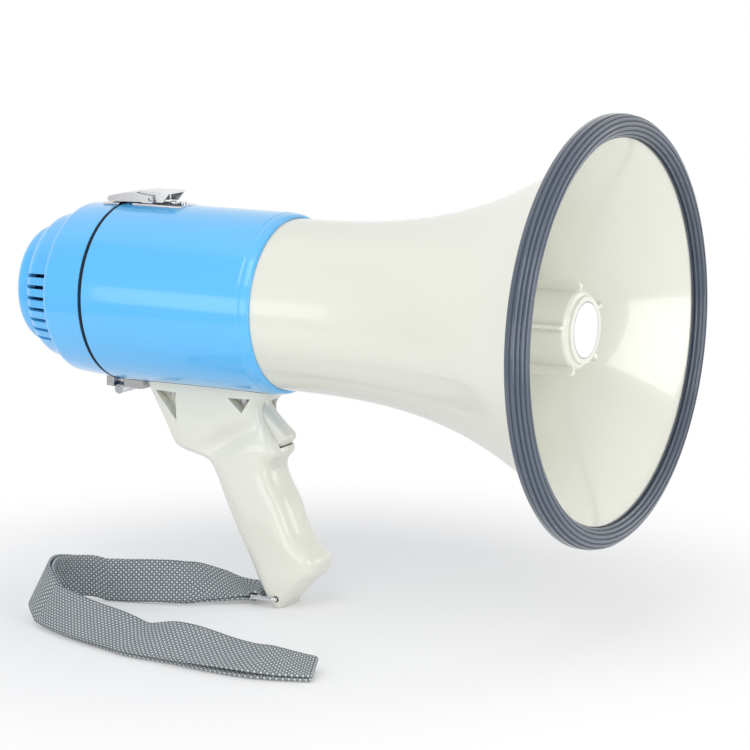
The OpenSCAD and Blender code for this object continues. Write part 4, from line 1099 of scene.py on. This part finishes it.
class MEGAPHONE_OT_strap(Operator):
    """Lay the wrist strap: a loop of webbing round the bail's bar, its two layers lying on each other"""

    bl_idname = "megaphone.strap"
    bl_label = "Wrist strap"

    def execute(self, context):
        skin("strap_bail")
        sizes = context.scene.megaphone_strap
        bail, handle = frame["nodes"]["strap_bail"]["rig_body"], frame["nodes"]["grip"]["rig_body"]
        start = [
            *self.side(STRAP_BEND, 0, 1, sizes), *self.half_turn(0, sizes.wrap, 12, sizes),
            *self.side(0, STRAP_BEND, -1, sizes),
        ]
        rest = [
            *self.side(STRAP_BEND, STRAP_LAST, -1, sizes),
            *self.half_turn(STRAP_LAST, -sizes.apart / 2, 8, sizes),
            *self.side(STRAP_LAST, STRAP_BEND, 1, sizes),
        ]
        near, near_run = self.band("strap_start", start, 0.0, sizes)
        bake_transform(near)
        far, far_run = self.band("wrist_strap", rest, near_run, sizes)
        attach(far, handle)
        return {"FINISHED"}

    def band(self, name, spots, begin, sizes):
        """A band of webbing through spots, its weave begun at a length, and its own length."""
        cols = 12
        bm, lines = laid_grid(len(spots) - 1, cols)
        uv = bm.loops.layers.uv.new("weave")
        run = [begin]
        for a, b in zip(spots, spots[1:]):
            run.append(run[-1] + (b[0] - a[0]).length)
        laid = {}
        for line, (middle, across), along in zip(lines, spots, run):
            for col, vert in enumerate(line):
                off = (col / cols - 0.5) * sizes.width
                vert.co = middle + across * off
                laid[vert] = (along, off)
        for face in bm.faces:
            for loop in face.loops:
                loop[uv].uv = laid[loop.vert]
        bmesh.ops.recalc_face_normals(bm, faces=bm.faces)
        made = piece(name, bm, "strap", angle=80, rides=False)
        wall = made.modifiers.new("Webbing", "SOLIDIFY")
        wall.thickness = sizes.layer
        wall.offset = 0.0
        return made, run[-1] - begin

    def side(self, start, end, face, sizes):
        """Middles and cross directions of one layer between two places of the route."""
        count = 9 * abs(end - start)
        spots = []
        for i in range(count + 1):
            place = start + (end - start) * i / count
            middle, _, across, out = strap_axes(place, sizes)
            near = smooth(window(place, 0, WRAP_REACH))
            away = sizes.apart / 2 + (sizes.wrap - sizes.apart / 2) * near
            if face < 0:
                away += GAPE * smooth(window(place, GAPE_PLACE, GAPE_REACH))
            spots.append((middle + out * face * away, across))
        return spots

    def half_turn(self, place, radius, steps, sizes):
        """The turn from one layer to the other, with a negative radius where it goes back."""
        middle, way, across, out = strap_axes(place, sizes)
        turns = [pi * i / steps for i in range(1, steps)]
        return [(middle + (out * cos(turn) - way * sin(turn)) * radius, across) for turn in turns]


# Name, power in watts, width and height, place and aim of each light
LAMPS = (
    ("key_light", 5.8, (1.0, 1.0), (0.15, -1.25, 1.35), (0.05, 0, 0.15)),
    ("low_light", 3.0, (1.5, 0.4), (-0.15, -1.3, 0.22), (0.05, 0, 0.13)),
    ("pane_light", 1.8, (0.3, 0.46), (0.63, -0.29, 0.26), (0.19, 0.1, 0.17)),
    ("bell_light", 1.9, (0.6, 0.6), (0.95, 0.85, 0.3), (0.17, 0, 0.2)),
)


def lamp(name, power, size, place, aim):
    """A soft rectangular light that looks at a point."""
    light = bpy.data.lights.new(name, "AREA")
    light.shape = "RECTANGLE"
    light.size, light.size_y = size
    light.energy = power
    made = placed(name, light)
    made.location = place
    made.rotation_euler = (Vector(aim) - Vector(place)).to_track_quat("-Z", "Y").to_euler()
    made.visible_camera = False


class MEGAPHONE_OT_stage(Operator):
    """Set up the pale floor, the soft light and the camera"""

    bl_idname = "megaphone.stage"
    bl_label = "Stage"

    def execute(self, context):
        settings = context.scene.megaphone_stage
        context.scene.view_settings.view_transform = "Standard"
        self.floor(settings)
        self.room(settings)
        for row in LAMPS:
            lamp(*row)
        self.camera(settings)
        return {"FINISHED"}

    def floor(self, settings):
        """A round white floor that passes into the background away from the part. Near the part most of its
        white glow is held back, so the floor there shows its real light and cast shadow within a darker
        pool of painted shade.
        """
        near, far, least, drop = 0.16, 0.38, 0.25, 0.5 * MM
        bm = bmesh.new()
        bmesh.ops.create_circle(bm, cap_ends=True, segments=128, radius=settings.table)
        mesh = mesh_of("floor", bm)
        f = new_finish("floor_white")
        ahead, across, _ = f.place()
        away = (ahead * ahead + across * across).math("SQRT").ramp(near, far)
        path = f.node("ShaderNodeLightPath")
        seen = path.out("Is Camera Ray") + path.out("Is Glossy Ray") + path.out("Is Transmission Ray")
        # Painted shade: near the part the floor keeps only a quarter of its white glow, leaving a darker
        # pool round the part
        white = seen * (least + away * (1 - least))
        lit = f.node("ShaderNodeBsdfDiffuse", {"Color": (0.86, 0.86, 0.87)})
        glow = f.node("ShaderNodeEmission", {"Color": (1.0, 1.0, 1.0), "Strength": 1.0})
        mixed = f.node("ShaderNodeMixShader", {0: white, 1: lit, 2: glow})
        f.node("ShaderNodeOutputMaterial", {"Surface": mixed})
        mesh.materials.append(f.owner)
        made = placed("floor", mesh)
        made.location.z = -drop

    def room(self, settings):
        """A white room that reflections show darker behind the camera, below a pale ceiling."""
        world = bpy.data.worlds.new("white_room")
        bpy.context.scene.world = world
        f = Finish(world)
        path = f.node("ShaderNodeLightPath")
        ahead, across, up = f.place("Generated")
        facing = ahead * sin(settings.azimuth) - across * cos(settings.azimuth)
        ceiling = up.ramp(0.74, 0.84)
        dark = facing.ramp(-0.35, 0.05) * (1.0 - ceiling) * settings.shade
        seen = path.out("Is Camera Ray").math("MAXIMUM", path.out("Is Transmission Ray"))
        glossy = path.out("Is Glossy Ray")
        fill = settings.fill * (1.0 - ahead.ramp(0.1, 0.9) * settings.ahead)
        bright = fill + seen * (1.0 - fill) + glossy * (1.0 - fill - dark)
        light = f.node("ShaderNodeBackground", {"Color": (1.0, 1.0, 1.0), "Strength": bright})
        f.node("ShaderNodeOutputWorld", {"Surface": light})

    def camera(self, settings):
        level = cos(settings.elevation)
        back = Vector((
            sin(settings.azimuth) * level, -cos(settings.azimuth) * level, sin(settings.elevation),
        ))
        made = placed("camera", bpy.data.cameras.new("camera"))
        made.data.lens = settings.lens
        made.data.sensor_width = 36.0
        made.data.clip_end = 60.0
        made.location = Vector(settings.target) + back * settings.distance
        made.rotation_euler = (-back).to_track_quat("-Z", "Y").to_euler()
        bpy.context.scene.camera = made


OPERATORS = (
    MEGAPHONE_OT_stage, MEGAPHONE_OT_horn, MEGAPHONE_OT_rim, MEGAPHONE_OT_tone_guide, MEGAPHONE_OT_body,
    MEGAPHONE_OT_grip, MEGAPHONE_OT_latch, MEGAPHONE_OT_hinge, MEGAPHONE_OT_insides, MEGAPHONE_OT_strap,
)


class MEGAPHONE_PT_panel(Panel):
    """Lists the megaphone's pieces in the sidebar"""

    bl_idname = "MEGAPHONE_PT_panel"
    bl_label = "Megaphone"
    bl_space_type = "VIEW_3D"
    bl_region_type = "UI"
    bl_category = "Megaphone"

    def draw(self, context):
        for operator in OPERATORS:
            self.layout.operator(operator.bl_idname)


GROUPS = {
    "megaphone_colours": MegaphoneColours, "megaphone_horn": HornSizes, "megaphone_guide": GuideSizes,
    "megaphone_grip": GripSizes, "megaphone_strap": StrapSizes, "megaphone_stage": StageSettings,
}
CLASSES = (*GROUPS.values(), *OPERATORS, MEGAPHONE_PT_panel)


def register():
    for made in CLASSES:
        bpy.utils.register_class(made)
    for name, group in GROUPS.items():
        setattr(bpy.types.Scene, name, PointerProperty(type=group))


def unregister():
    for name in GROUPS:
        delattr(bpy.types.Scene, name)
    for made in reversed(CLASSES):
        bpy.utils.unregister_class(made)


def main():
    register()
    for operator in OPERATORS:
        group, name = operator.bl_idname.split(".")
        getattr(getattr(bpy.ops, group), name)()


if __name__ == "__main__":
    main()
